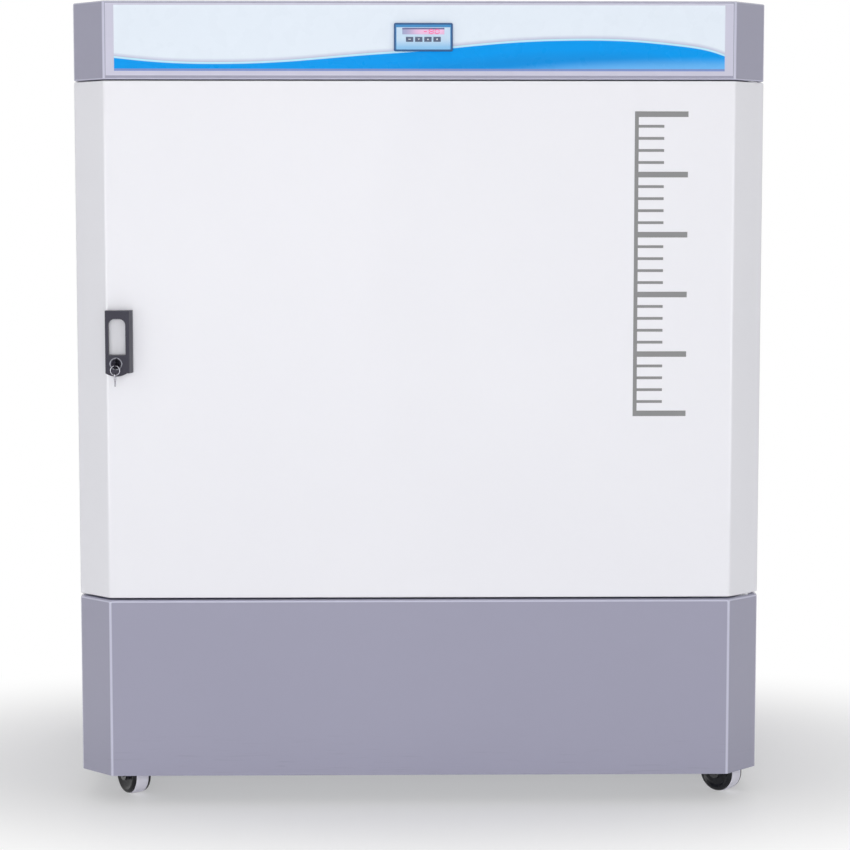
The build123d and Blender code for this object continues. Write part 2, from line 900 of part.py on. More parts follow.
with BuildPart() as controller_body:
    block(
        centred(controller_x, controller_width),
        (controller_front, front_y),
        centred(controller_z, controller_tall),
    )
    fillet(controller_body.edges().filter_by(Axis.Y), radius=controller_corner)
    fillet(controller_body.faces().sort_by(Axis.Y)[0].edges(), radius=controller_edge)
    block(
        centred(controller_x, controller_body_width),
        (front_y, front_y + controller_body_depth),
        centred(controller_z, controller_body_tall),
    )
    block(
        centred(controller_x, display_width),
        (controller_front - overrun, controller_front + display_depth),
        centred(display_z, display_height),
        mode=Mode.SUBTRACT,
    )
    for place in button_places:
        block(
            centred(place, button_width + 2 * seat_clearance),
            (controller_front - overrun, controller_front + button_well),
            centred(button_z, button_height + 2 * seat_clearance),
            mode=Mode.SUBTRACT,
        )
controller_body.part.label = "controller_body"
export_step(controller_body.part, "parts/controller_body.step")

with BuildPart() as display_window:
    block(
        centred(controller_x, display_width),
        (controller_front + seat_clearance, controller_front + display_depth),
        centred(display_z, display_height),
    )
display_window.part.label = "display_window"
export_step(display_window.part, "parts/display_window.step")

button_rear = controller_front + button_well - button_travel - seat_clearance
for button_name, place in zip(button_names, button_places):
    with BuildPart() as button:
        block(
            centred(place, button_width),
            (controller_front - button_proud, button_rear),
            centred(button_z, button_height),
        )
        fillet(button.faces().sort_by(Axis.Y)[0].edges(), radius=collar_edge)
    button.part.label = f"key_{button_name}"
    export_step(button.part, f"parts/key_{button_name}.step")

# Control board on standoffs inside the header
board_width = 180
board_depth = 120
board_sheet = 1.6
board_share = 0.192
board_x = half_width * board_share
board_offset = 60
board_y = mid_y - board_offset
standoff_radius = 4
standoff_height = 12
standoff_inset = 10
relay_width = 28
relay_depth = 14
relay_height = 16
relay_pitch = 36
relay_count = 4
transformer_width = 48
transformer_depth = 40
transformer_height = 36
board_bottom = header_bottom + standoff_height
board_top = board_bottom + board_sheet

with BuildPart() as control_board:
    block(centred(board_x, board_width), centred(board_y, board_depth), (board_bottom, board_top))
    for sign_x in (-1, 1):
        for sign_y in (-1, 1):
            post_x = board_x + sign_x * (board_width / 2 - standoff_inset)
            post_y = board_y + sign_y * (board_depth / 2 - standoff_inset)
            rod(standoff_radius, (post_x, post_y, header_bottom), (post_x, post_y, board_bottom))
    for index in range(relay_count):
        relay_x = board_x + relay_pitch * (index - (relay_count - 1) / 2)
        block(
            centred(relay_x, relay_width),
            centred(board_y - board_depth / 4, relay_depth),
            (board_top, board_top + relay_height),
        )
    block(
        centred(board_x, transformer_width),
        centred(board_y + board_depth / 4, transformer_depth),
        (board_top, board_top + transformer_height),
    )
control_board.part.label = "control_board"
export_step(control_board.part, "parts/control_board.step")

# Base chassis: tray for the machinery, corner posts and deck under the case
caster_height = 108
chassis_sheet = 3
chassis_inset = sheet + seam
deck_edge_radius = chassis_sheet / 2
deck_inset = base_edge_radius - deck_edge_radius
post_width = 38
tray_top = caster_height + chassis_sheet
deck_bottom = case_bottom - chassis_sheet
chassis_rear = rear_y - chassis_inset
post_outer_x = half_width - chassis_inset
post_setback = 20
post_front_y = front_y + corner_chamfer + post_setback
cover_screw_radius = 2
cover_screw_head = 4.2
cover_screw_head_height = 2.4
cover_screw_length = 8
cover_screw_rows = 4
cover_screw_inset = chassis_inset + post_width / 2
cover_screw_margin = 40
cover_screw_x = half_width - cover_screw_inset
cover_screw_levels = [
    tray_top + cover_screw_margin
    + (deck_bottom - tray_top - 2 * cover_screw_margin) * row / (cover_screw_rows - 1)
    for row in range(cover_screw_rows)
]
cover_screw_places = [(side * cover_screw_x, z) for side in (-1, 1) for z in cover_screw_levels]


def screw_holes(radius):
    """Cut the holes for the screws of the rear cover."""
    for x, z in cover_screw_places:
        rod(radius, (x, rear_y + overrun, z), (x, rear_y - 3 * overrun, z), mode=Mode.SUBTRACT)


with BuildPart() as base_chassis:
    cabinet_slab((caster_height, tray_top), chassis_inset, chassis_rear)
    cabinet_slab((deck_bottom, case_bottom), deck_inset, chassis_rear)
    fillet(rim_edges(base_chassis.faces().sort_by(Axis.Z)[-1]), radius=deck_edge_radius)
    for side in (-1, 1):
        for corner_y, inward in ((post_front_y, 1), (chassis_rear, -1)):
            x_outer = side * post_outer_x
            block(
                sorted((x_outer, x_outer - side * chassis_sheet)),
                sorted((corner_y, corner_y + inward * post_width)),
                (tray_top, deck_bottom),
            )
            block(
                sorted((x_outer, x_outer - side * post_width)),
                sorted((corner_y, corner_y + inward * chassis_sheet)),
                (tray_top, deck_bottom),
            )
    screw_holes(cover_screw_radius + running_clearance)
    tail_holes((deck_bottom - overrun, case_bottom + overrun), tail_clearance)
base_chassis.part.label = "base_chassis"
export_step(base_chassis.part, "parts/base_chassis.step")

# Front panel of the base: front, cut corners and the ledge under the door
side_seam_setback = 12
side_seam_y = front_y + corner_chamfer + side_seam_setback

with BuildPart() as base_front_inside:
    cabinet_slab((base_bottom - overrun, case_bottom), sheet, case_front + overrun)
    fillet(rim_edges(base_front_inside.faces().sort_by(Axis.Z)[-1]), radius=base_edge_radius - sheet)

with BuildPart() as base_front_panel:
    cabinet_slab((base_bottom, base_top), 0, case_front)
    fillet(rim_edges(base_front_panel.faces().sort_by(Axis.Z)[-1]), radius=base_edge_radius)
    add(base_front_inside.part, mode=Mode.SUBTRACT)
    block(
        (-half_width - overrun, half_width + overrun),
        (side_seam_y, case_front + overrun),
        (base_bottom - overrun, case_bottom),
        mode=Mode.SUBTRACT,
    )
base_front_panel.part.label = "base_front_panel"
export_step(base_front_panel.part, "parts/base_front_panel.step")

# Side panels of the base, slotted for the condenser's air
vent_length = 120
vent_height = 6
vent_rows = 9
vent_pitch = 16
vent_columns = 3
vent_column_pitch = 150
vent_z = (tray_top + deck_bottom) / 2
vent_y = (side_seam_y + rear_y) / 2

with BuildPart() as base_side_panels:
    for side in (-1, 1):
        block(
            sorted((side * half_width, side * (half_width - sheet))),
            (side_seam_y + seam, rear_y),
            (base_bottom, case_bottom - seam),
        )
    with BuildSketch(Plane.YZ) as side_vents:
        with Locations((vent_y, vent_z)):
            with GridLocations(vent_column_pitch, vent_pitch, vent_columns, vent_rows):
                SlotOverall(vent_length, vent_height)
    extrude(amount=half_width + overrun, both=True, mode=Mode.SUBTRACT)
base_side_panels.part.label = "base_side_panels"
export_step(base_side_panels.part, "parts/base_side_panels.step")

# Rear cover of the base, with vents and the cut-outs for inlet and switch
cover_x = half_width - sheet - seam
inlet_inset = 195
inlet_x = inlet_inset - half_width
inlet_z = 160
inlet_width = 34
inlet_height = 24
inlet_depth = 30
inlet_flange = 6
inlet_flange_sheet = 3
socket_width = 28
socket_height = 19
socket_depth = 18
prong_thickness = 2
prong_width = 6
prong_length = 13
prong_pitch = 9
switch_offset = 60
switch_width = 20
switch_height = 30
switch_depth = 24
rocker_radius = 11
rocker_width = 14
rocker_play = 0.4
rocker_pivot_depth = 2
rocker_pin_radius = 1.5
rocker_pin_length = 1.6
rocker_face_height = 4.2
rocker_valley = 1.2
rocker_tilt = 9
switch_x = inlet_x + switch_offset
rear_vent_share = 0.224
rear_vent_x = half_width * rear_vent_share

with BuildPart() as rear_cover:
    block((-cover_x, cover_x), (rear_y - sheet, rear_y), (base_bottom, case_bottom - seam))
    block(
        centred(inlet_x, inlet_width + 2 * seam),
        (rear_y - overrun, rear_y + overrun),
        centred(inlet_z, inlet_height + 2 * seam),
        mode=Mode.SUBTRACT,
    )
    block(
        centred(switch_x, switch_width + 2 * seam),
        (rear_y - overrun, rear_y + overrun),
        centred(inlet_z, switch_height + 2 * seam),
        mode=Mode.SUBTRACT,
    )
    with BuildSketch(Plane.XZ.offset(-rear_y)) as rear_vents:
        with Locations((rear_vent_x, vent_z)):
            with GridLocations(vent_column_pitch, vent_pitch, vent_columns, vent_rows):
                SlotOverall(vent_length, vent_height)
    extrude(amount=overrun, both=True, mode=Mode.SUBTRACT)
    screw_holes(cover_screw_radius + running_clearance)
rear_cover.part.label = "rear_cover"
export_step(rear_cover.part, "parts/rear_cover.step")

with BuildPart() as cover_screws:
    for x, z in cover_screw_places:
        rod(cover_screw_head, (x, rear_y, z), (x, rear_y + cover_screw_head_height, z))
        rod(cover_screw_radius, (x, rear_y - cover_screw_length, z), (x, rear_y, z))
    fillet(cover_screws.edges().group_by(Axis.Y)[-1], radius=collar_edge)
cover_screws.part.label = "cover_screws"
export_step(cover_screws.part, "parts/cover_screws.step")

# Mains inlet and the switch's housing
switch_wall_x = rocker_width / 2 + rocker_play
rocker_y = rear_y - rocker_pivot_depth

with BuildPart() as power_inlet:
    block(
        centred(inlet_x, inlet_width),
        (rear_y - inlet_depth, rear_y),
        centred(inlet_z, inlet_height),
    )
    block(
        centred(inlet_x, inlet_width + 2 * inlet_flange),
        (rear_y, rear_y + inlet_flange_sheet),
        centred(inlet_z, inlet_height + inlet_flange),
    )
    block(
        centred(inlet_x, socket_width),
        (rear_y + inlet_flange_sheet - socket_depth, rear_y + overrun),
        centred(inlet_z, socket_height),
        mode=Mode.SUBTRACT,
    )
    for index in (-1, 0, 1):
        block(
            centred(inlet_x + index * prong_pitch, prong_thickness),
            (
                rear_y + inlet_flange_sheet - socket_depth,
                rear_y + inlet_flange_sheet - socket_depth + prong_length,
            ),
            centred(inlet_z, prong_width),
        )
    block(
        centred(switch_x, switch_width),
        (rear_y - switch_depth, rear_y),
        centred(inlet_z, switch_height),
    )
    block(
        centred(switch_x, switch_width + inlet_flange),
        (rear_y, rear_y + inlet_flange_sheet / 2),
        centred(inlet_z, switch_height + inlet_flange),
    )
    block(
        (switch_x - switch_wall_x, switch_x + switch_wall_x),
        (rocker_y - rocker_radius - rocker_play, rear_y + overrun),
        centred(inlet_z, 2 * (rocker_radius + rocker_play)),
        mode=Mode.SUBTRACT,
    )
    rod(
        rocker_pin_radius + running_clearance,
        (switch_x - switch_wall_x - rocker_pin_length, rocker_y, inlet_z),
        (switch_x + switch_wall_x + rocker_pin_length, rocker_y, inlet_z),
        mode=Mode.SUBTRACT,
    )
power_inlet.part.label = "power_inlet"
export_step(power_inlet.part, "parts/power_inlet.step")

# Rocker of the switch, tipped to its lower side
rocker_down = Vector(0, 0, -1).rotate(Axis.X, -rocker_tilt)
rocker_plane = Plane(origin=(switch_x, rocker_y, inlet_z), x_dir=rocker_down, z_dir=(1, 0, 0))

with BuildPart() as power_switch:
    with BuildSketch(rocker_plane) as rocker_side:
        Circle(rocker_radius)
        with BuildLine():
            Polyline(
                (-2 * rocker_radius, -rocker_radius / 2),
                (2 * rocker_radius, -rocker_radius / 2),
                (2 * rocker_radius, 2 * (rocker_face_height - rocker_valley) + rocker_valley),
                (0, rocker_valley),
                (-2 * rocker_radius, 2 * (rocker_face_height - rocker_valley) + rocker_valley),
                close=True,
            )
        make_face(mode=Mode.INTERSECT)
    extrude(amount=rocker_width / 2, both=True)
    rod(
        rocker_pin_radius,
        (switch_x - rocker_width / 2 - rocker_pin_length, rocker_y, inlet_z),
        (switch_x + rocker_width / 2 + rocker_pin_length, rocker_y, inlet_z),
    )
power_switch.part.label = "power_switch"
export_step(power_switch.part, "parts/power_switch.step")

# Rubber stops high on the rear of the case
with BuildPart() as rear_stops:
    for side in (-1, 1):
        stop_x = side * (half_width - stop_inset)
        stop_z = header_bottom - stop_drop
        rod(stop_radius, (stop_x, rear_y, stop_z), (stop_x, rear_y + stop_length, stop_z))
rear_stops.part.label = "rear_stops"
export_step(rear_stops.part, "parts/rear_stops.step")

# Hermetic compressors on rubber feet
compressor_radius = 92
compressor_height = 190
compressor_dome = 40
compressor_plate = 4
compressor_plate_size = 190
foot_radius = 14
foot_height = 14
foot_inset = 18
stub_radius = 8
stub_length = 12
terminal_width = 50
terminal_depth = 22
terminal_height = 60
high_stage_share = 0.096
low_stage_inset = 245
high_stage_x = half_width * high_stage_share
low_stage_x = half_width - low_stage_inset
compressor_y = mid_y
discharge_z = 290
suction_z = 200
shell_bottom = tray_top + foot_height + compressor_plate
stub_reach = compressor_radius + stub_length

for stage_name, stage_x in (("high_stage", high_stage_x), ("low_stage", low_stage_x)):
    with BuildPart() as compressor:
        rod(
            compressor_radius,
            (stage_x, compressor_y, shell_bottom),
            (stage_x, compressor_y, shell_bottom + compressor_height),
        )
        fillet(compressor.edges().group_by(Axis.Z)[-1], radius=compressor_dome)
        block(
            centred(stage_x, compressor_plate_size),
            centred(compressor_y, compressor_plate_size),
            (shell_bottom - compressor_plate, shell_bottom),
        )
        for sign_x in (-1, 1):
            for sign_y in (-1, 1):
                foot_x = stage_x + sign_x * (compressor_plate_size / 2 - foot_inset)
                foot_y = compressor_y + sign_y * (compressor_plate_size / 2 - foot_inset)
                rod(foot_radius, (foot_x, foot_y, tray_top), (foot_x, foot_y, tray_top + foot_height))
        rod(
            stub_radius,
            (stage_x, compressor_y, discharge_z),
            (stage_x - stub_reach, compressor_y, discharge_z),
        )
        rod(
            stub_radius,
            (stage_x, compressor_y, suction_z),
            (stage_x, compressor_y + stub_reach, suction_z),
        )
        block(
            centred(stage_x, terminal_width),
            (compressor_y - compressor_radius - terminal_depth, compressor_y),
            centred(suction_z, terminal_height),
        )
    compressor.part.label = f"compressor_{stage_name}"
    export_step(compressor.part, f"parts/compressor_{stage_name}.step")

# Condenser: tubes through a stack of fins between two end plates
condenser_inset = 45
condenser_thickness = 45
condenser_length = 460
condenser_bottom_gap = 14
condenser_height = 225
condenser_plate = 2
fin_count = 30
fin_sheet = 1
condenser_tube_radius = 5
condenser_tube_rows = 7
header_tube_margin = 15
condenser_offset = 20
condenser_y = mid_y + condenser_offset
condenser_x = -(half_width - condenser_inset) + condenser_thickness / 2
condenser_ends = centred(condenser_y, condenser_length)
condenser_bottom = tray_top + condenser_bottom_gap
condenser_z = condenser_bottom + condenser_height / 2
condenser_face = condenser_x + condenser_thickness / 2
condenser_in_z = condenser_bottom + condenser_height - header_tube_margin
condenser_out_z = condenser_bottom + header_tube_margin
condenser_span = condenser_in_z - condenser_out_z

with BuildPart() as condenser_coil:
    for end, way in ((condenser_ends[0], 1), (condenser_ends[1], -1)):
        block(
            centred(condenser_x, condenser_thickness),
            sorted((end, end + way * condenser_plate)),
            (tray_top, condenser_bottom + condenser_height),
        )
    for index in range(fin_count):
        fin_y = condenser_ends[0] + condenser_length * (index + 1) / (fin_count + 1)
        block(
            centred(condenser_x, condenser_thickness),
            centred(fin_y, fin_sheet),
            (condenser_bottom, condenser_bottom + condenser_height),
        )
    for row in range(condenser_tube_rows):
        tube_z = condenser_out_z + condenser_span * row / (condenser_tube_rows - 1)
        rod(
            condenser_tube_radius,
            (condenser_x, condenser_ends[0], tube_z),
            (condenser_x, condenser_ends[1], tube_z),
        )
    for tube_z in (condenser_in_z, condenser_out_z):
        rod(
            stub_radius,
            (condenser_x, condenser_ends[1], tube_z),
            (condenser_x, condenser_ends[1] + stub_length, tube_z),
        )
condenser_coil.part.label = "condenser_coil"
export_step(condenser_coil.part, "parts/condenser_coil.step")

# Fan shroud behind the condenser, with the strap that carries the motor
shroud_depth = 40
shroud_sheet = 2
fan_radius = 92
fan_tip_clearance = 6
strap_gap = 24
strap_width = 34
strap_sheet = 3
shaft_radius = 4
shaft_hole_clearance = 2
motor_radius = 34
motor_length = 60
bearing_depth = 30
hub_radius = 22
hub_length = 24
hub_inset = 4
fan_blade_count = 5
fan_blade_pitch = 32
fan_blade_width = 46
fan_blade_sheet = 2
shroud_face = condenser_face + shroud_depth
strap_face = shroud_face + strap_gap
motor_face = strap_face + strap_sheet
fan_y = condenser_y
fan_z = condenser_z
strap_reach = fan_radius + fan_tip_clearance + strap_sheet

with BuildPart() as fan_shroud:
    block(
        (condenser_face, shroud_face),
        condenser_ends,
        (condenser_bottom, condenser_bottom + condenser_height),
    )
    block(
        (condenser_face - overrun, shroud_face - shroud_sheet),
        grown(condenser_ends, -shroud_sheet),
        (condenser_bottom + shroud_sheet, condenser_bottom + condenser_height - shroud_sheet),
        mode=Mode.SUBTRACT,
    )
    rod(
        fan_radius + fan_tip_clearance,
        (shroud_face - 2 * shroud_sheet, fan_y, fan_z),
        (shroud_face + overrun, fan_y, fan_z),
        mode=Mode.SUBTRACT,
    )
    for side in (-1, 1):
        leg = fan_z + side * strap_reach
        block(
            (shroud_face, motor_face),
            centred(fan_y, strap_width),
            sorted((leg, leg + side * strap_sheet)),
        )
    block(
        (strap_face, motor_face),
        centred(fan_y, strap_width),
        (fan_z - strap_reach, fan_z + strap_reach),
    )
    rod(
        shaft_radius + shaft_hole_clearance,
        (strap_face - overrun, fan_y, fan_z),
        (motor_face + overrun, fan_y, fan_z),
        mode=Mode.SUBTRACT,
    )
fan_shroud.part.label = "fan_shroud"
export_step(fan_shroud.part, "parts/fan_shroud.step")

with BuildPart() as fan_motor:
    rod(motor_radius, (motor_face, fan_y, fan_z), (motor_face + motor_length, fan_y, fan_z))
    fillet(fan_motor.edges().group_by(Axis.X)[-1], radius=bend_radius)
    rod(
        shaft_radius + running_clearance,
        (motor_face - overrun, fan_y, fan_z),
        (motor_face + bearing_depth, fan_y, fan_z),
        mode=Mode.SUBTRACT,
    )
fan_motor.part.label = "fan_motor"
export_step(fan_motor.part, "parts/fan_motor.step")

# Fan: hub, pitched blades and the shaft that runs in the motor
hub_rear = shroud_face + hub_inset
blade_span = fan_radius - hub_radius / 2
fan_plane = Plane(origin=(hub_rear - hub_length / 2, fan_y, fan_z), z_dir=(1, 0, 0))

with BuildPart(fan_plane) as fan_blades:
    Cylinder(hub_radius, hub_length)
    with PolarLocations(hub_radius / 2 + blade_span / 2, fan_blade_count):
        Box(blade_span, fan_blade_width, fan_blade_sheet, rotation=(fan_blade_pitch, 0, 0))
    with Locations((0, 0, hub_length / 2)):
        Cylinder(
            shaft_radius,
            motor_face + bearing_depth - seat_clearance - hub_rear,
            align=(Align.CENTER, Align.CENTER, Align.MIN),
        )
fan_blades.part.label = "fan_blades"
export_step(fan_blades.part, "parts/fan_blades.step")

# Cascade heat exchanger: insulated canister between the two circuits
cascade_offset = 170
cascade_y = mid_y + cascade_offset
cascade_radius = 60
cascade_height = 215
cascade_edge = 12
cascade_reach = cascade_radius + stub_length
cascade_liquid_z = 140
cascade_gas_z = 200
cascade_feed_z = 250

with BuildPart() as cascade_exchanger:
    rod(
        cascade_radius,
        (cascade_x, cascade_y, tray_top),
        (cascade_x, cascade_y, tray_top + cascade_height),
    )
    fillet(cascade_exchanger.edges().group_by(Axis.Z)[-1], radius=cascade_edge)
    for direction, stub_z in (
        ((-1, 0), cascade_liquid_z),
        ((1, 0), cascade_gas_z),
        ((0, 1), discharge_z),
        ((0, -1), cascade_feed_z),
    ):
        rod(
            stub_radius,
            (cascade_x, cascade_y, stub_z),
            (
                cascade_x + direction[0] * cascade_reach,
                cascade_y + direction[1] * cascade_reach,
                stub_z,
            ),
        )
cascade_exchanger.part.label = "cascade_exchanger"
export_step(cascade_exchanger.part, "parts/cascade_exchanger.step")

# Refrigerant lines: copper tube between the machines, with the filter drier
line_radius = tail_radius
line_bend = 20
line_bend_share = 0.45
drier_radius = 16
drier_length = 90
crossing_z = 350
line_margin = 24
rear_run_y = condenser_ends[1] + stub_length + 2 * line_margin
liquid_run_y = condenser_ends[1] + stub_length + line_margin
hot_run_x = high_stage_x - stub_reach - 3 * line_margin
low_run_x = low_stage_x - stub_reach - 2 * line_margin
liquid_run_x = cascade_x - cascade_reach - 2 * line_margin
feed_run_y = cascade_y - cascade_reach - 2 * line_margin
return_run_y = compressor_y + stub_reach + 3 * line_margin
gas_run_y = cascade_y + cascade_reach + line_margin
line_routes = (
    (
        (high_stage_x - stub_reach, compressor_y, discharge_z),
        (hot_run_x, compressor_y, discharge_z),
        (hot_run_x, compressor_y, crossing_z),
        (hot_run_x, rear_run_y, crossing_z),
        (condenser_x, rear_run_y, crossing_z),
        (condenser_x, rear_run_y, condenser_in_z),
        (condenser_x, condenser_ends[1] + stub_length, condenser_in_z),
    ),
    (
        (condenser_x, condenser_ends[1] + stub_length, condenser_out_z),
        (condenser_x, liquid_run_y, condenser_out_z),
        (liquid_run_x, liquid_run_y, condenser_out_z),
        (liquid_run_x, cascade_y, cascade_liquid_z),
        (cascade_x - cascade_reach, cascade_y, cascade_liquid_z),
    ),
    (
        (cascade_x + cascade_reach, cascade_y, cascade_gas_z),
        (high_stage_x, cascade_y, cascade_gas_z),
        (high_stage_x, compressor_y + stub_reach, suction_z),
    ),
    (
        (low_stage_x - stub_reach, compressor_y, discharge_z),
        (low_run_x, compressor_y, discharge_z),
        (low_run_x, gas_run_y, discharge_z),
        (cascade_x, gas_run_y, discharge_z),
        (cascade_x, cascade_y + cascade_reach, discharge_z),
    ),
    (
        (cascade_x, cascade_y - cascade_reach, cascade_feed_z),
        (cascade_x, feed_run_y, cascade_feed_z),
        (feed_tail_x, feed_run_y, cascade_feed_z),
        (feed_tail_x, tail_y, cascade_feed_z),
        (feed_tail_x, tail_y, tail_bottom),
    ),
    (
        (return_tail_x, tail_y, tail_bottom),
        (return_tail_x, tail_y, suction_z),
        (return_tail_x, return_run_y, suction_z),
        (low_stage_x, return_run_y, suction_z),
        (low_stage_x, compressor_y + stub_reach, suction_z),
    ),
)

with BuildPart() as refrigerant_lines:
    for route in line_routes:
        shortest = min((Vector(b) - Vector(a)).length for a, b in zip(route, route[1:]))
        with BuildLine() as line_path:
            FilletPolyline(*route, radius=min(line_bend, shortest * line_bend_share))
        start_plane = Plane(origin=route[0], z_dir=Vector(route[1]) - Vector(route[0]))
        with BuildSketch(start_plane) as line_section:
            Circle(line_radius)
        sweep(line_section.sketch, path=line_path.line)
    drier_x = (condenser_x + liquid_run_x) / 2
    rod(
        drier_radius,
        (drier_x - drier_length / 2, liquid_run_y, condenser_out_z),
        (drier_x + drier_length / 2, liquid_run_y, condenser_out_z),
    )
refrigerant_lines.part.label = "refrigerant_lines"
export_step(refrigerant_lines.part, "parts/refrigerant_lines.step")

# Casters: fixed plates with kingpins, swivelling forks, and wheels
caster_inset_x = 77
caster_inset_y = 110
caster_plate_size = 64
race_radius = 20
race_height = 9
kingpin_radius = 5
kingpin_nut_radius = 9
kingpin_nut_height = 6
swivel_play = 0.2
fork_crown_radius = 23
fork_crown_height = 4
fork_sheet = 3
fork_leg_width = 24
wheel_radius = 37.5
wheel_width = 38
wheel_play = 0.6
trail = 26
axle_radius = 4
axle_head_radius = 6
axle_head_height = 2.5
hub_recess_radius = 31
hub_cap_radius = 30.5
hub_cap_thickness = 2.5
tyre_radius_edge = 5
caster_plate = chassis_sheet
race_top = caster_height - caster_plate
race_bottom = race_top - race_height
crown_top = race_bottom - swivel_play
crown_bottom = crown_top - fork_crown_height
nut_top = crown_bottom - swivel_play
fork_inner = wheel_width / 2 + wheel_play
fork_outer = fork_inner + fork_sheet
caster_places = {
    "front_left": (-1, front_y + caster_inset_y, -57),
    "front_right": (1, front_y + caster_inset_y, -46),
    "rear_left": (-1, rear_y - caster_inset_y, 35),
    "rear_right": (1, rear_y - caster_inset_y, 128),
}

with BuildPart() as caster_plates:
    for side, caster_y, heading in caster_places.values():
        caster_x = side * (half_width - caster_inset_x)
        block(
            centred(caster_x, caster_plate_size),
            centred(caster_y, caster_plate_size),
            (race_top, caster_height),
        )
        rod(race_radius, (caster_x, caster_y, race_bottom), (caster_x, caster_y, race_top))
        rod(kingpin_radius, (caster_x, caster_y, nut_top), (caster_x, caster_y, race_bottom))
        rod(
            kingpin_nut_radius,
            (caster_x, caster_y, nut_top - kingpin_nut_height),
            (caster_x, caster_y, nut_top),
        )
caster_plates.part.label = "caster_plates"
export_step(caster_plates.part, "parts/caster_plates.step")

for caster_name, (side, caster_y, heading) in caster_places.items():
    caster_x = side * (half_width - caster_inset_x)
    heading_direction = Vector(1, 0, 0).rotate(Axis.Z, heading)
    caster_plane = Plane(origin=(caster_x, caster_y, 0), x_dir=heading_direction, z_dir=(0, 0, 1))

    with BuildPart(caster_plane) as fork:
        rod(fork_crown_radius, (0, 0, crown_bottom), (0, 0, crown_top))
        for leg_side in (-1, 1):
            leg_y = sorted((leg_side * fork_inner, leg_side * fork_outer))
            leg_plane = caster_plane * Plane.XZ.offset(-leg_y[1])
            with BuildSketch(leg_plane) as leg_profile:
                with BuildLine():
                    Polyline(
                        (-fork_leg_width / 2, crown_bottom),
                        (fork_leg_width / 2, crown_bottom),
                        (trail + fork_leg_width / 2, wheel_radius),
                        (trail - fork_leg_width / 2, wheel_radius),
                        close=True,
                    )
                make_face()
                with Locations((trail, wheel_radius)):
                    Circle(fork_leg_width / 2)
            extrude(leg_profile.sketch, amount=fork_sheet)
            block(
                (-fork_leg_width / 2, fork_leg_width / 2), leg_y, (crown_bottom, crown_top)
            )
            rod(
                axle_head_radius,
                (trail, leg_side * fork_outer, wheel_radius),
                (trail, leg_side * (fork_outer + axle_head_height), wheel_radius),
            )
        rod(axle_radius, (trail, -fork_outer, wheel_radius), (trail, fork_outer, wheel_radius))
        rod(
            kingpin_radius + running_clearance,
            (0, 0, crown_bottom - overrun),
            (0, 0, crown_top + overrun),
            mode=Mode.SUBTRACT,
        )
    fork.part.label = f"caster_{caster_name}_fork"
    export_step(fork.part, f"parts/caster_{caster_name}_fork.step")

    with BuildPart(caster_plane) as wheel:
        rod(
            wheel_radius,
            (trail, -wheel_width / 2, wheel_radius),
            (trail, wheel_width / 2, wheel_radius),
        )
        fillet(wheel.edges(), radius=tyre_radius_edge)
        for leg_side in (-1, 1):
            rod(
                hub_recess_radius,
                (trail, leg_side * (wheel_width / 2 - hub_cap_thickness), wheel_radius),
                (trail, leg_side * (wheel_width / 2 + overrun), wheel_radius),
                mode=Mode.SUBTRACT,
            )
            rod(
                hub_cap_radius,
                (trail, leg_side * (wheel_width / 2 - hub_cap_thickness), wheel_radius),
                (trail, leg_side * wheel_width / 2, wheel_radius),
            )
        rod(
            axle_radius + running_clearance,
            (trail, -wheel_width, wheel_radius),
            (trail, wheel_width, wheel_radius),
            mode=Mode.SUBTRACT,
        )
    wheel.part.label = f"caster_{caster_name}_wheel"
    export_step(wheel.part, f"parts/caster_{caster_name}_wheel.step")
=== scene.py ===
"""Dresses the ultra low temperature freezer: finishes, small fittings, light and camera."""

import json
import logging
import math
from dataclasses import dataclass
from enum import Enum
from typing import Any, Iterable, Mapping, Optional, Sequence

import bmesh
import bpy
from mathutils import Matrix, Vector


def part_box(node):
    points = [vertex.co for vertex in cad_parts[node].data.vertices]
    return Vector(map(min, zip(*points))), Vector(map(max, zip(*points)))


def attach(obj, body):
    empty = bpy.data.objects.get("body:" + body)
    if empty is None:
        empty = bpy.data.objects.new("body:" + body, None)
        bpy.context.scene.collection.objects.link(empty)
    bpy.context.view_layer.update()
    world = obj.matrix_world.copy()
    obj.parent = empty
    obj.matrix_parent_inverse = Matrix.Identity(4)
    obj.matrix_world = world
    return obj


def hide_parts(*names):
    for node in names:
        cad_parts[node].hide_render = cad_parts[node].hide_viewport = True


log = logging.getLogger("freezer")
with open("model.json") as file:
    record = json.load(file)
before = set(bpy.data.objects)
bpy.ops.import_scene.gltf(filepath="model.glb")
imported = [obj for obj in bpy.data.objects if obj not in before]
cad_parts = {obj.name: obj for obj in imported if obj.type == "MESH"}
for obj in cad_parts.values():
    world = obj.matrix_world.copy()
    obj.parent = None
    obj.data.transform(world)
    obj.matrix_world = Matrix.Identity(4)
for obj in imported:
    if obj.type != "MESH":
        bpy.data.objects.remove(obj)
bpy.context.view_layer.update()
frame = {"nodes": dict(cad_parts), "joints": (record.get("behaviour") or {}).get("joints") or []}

MM = 0.001
WELD_M = 1e-7
ON_AXLE_M = 1e-9
LEAST_ROUGHNESS = 0.02
CREASE_DEGREES = 35.0
WHITE = (1.0, 1.0, 1.0, 1.0)

Point = tuple[float, float, float]
Pairs = Sequence[tuple[float, float]]
Tree = bpy.types.NodeTree
Node = bpy.types.Node
Socket = bpy.types.NodeSocket
Mesh = bpy.types.Mesh


def linear(code: str) -> tuple[float, float, float, float]:
    """Turns an sRGB hex colour into linear light.

    Args:
        code: the colour as "#RRGGBB".

    Returns:
        Red, green, blue and alpha, linear.
    """
    channels = [int(code[i : i + 2], 16) / 255 for i in (1, 3, 5)]
    lit = [c / 12.92 if c <= 0.04045 else ((c + 0.055) / 1.055) ** 2.4 for c in channels]
    return (lit[0], lit[1], lit[2], 1.0)


def per_mm(size: float) -> float:
    """Texture scale that gives one feature of this size in millimetres."""
    return 1 / (size * MM)


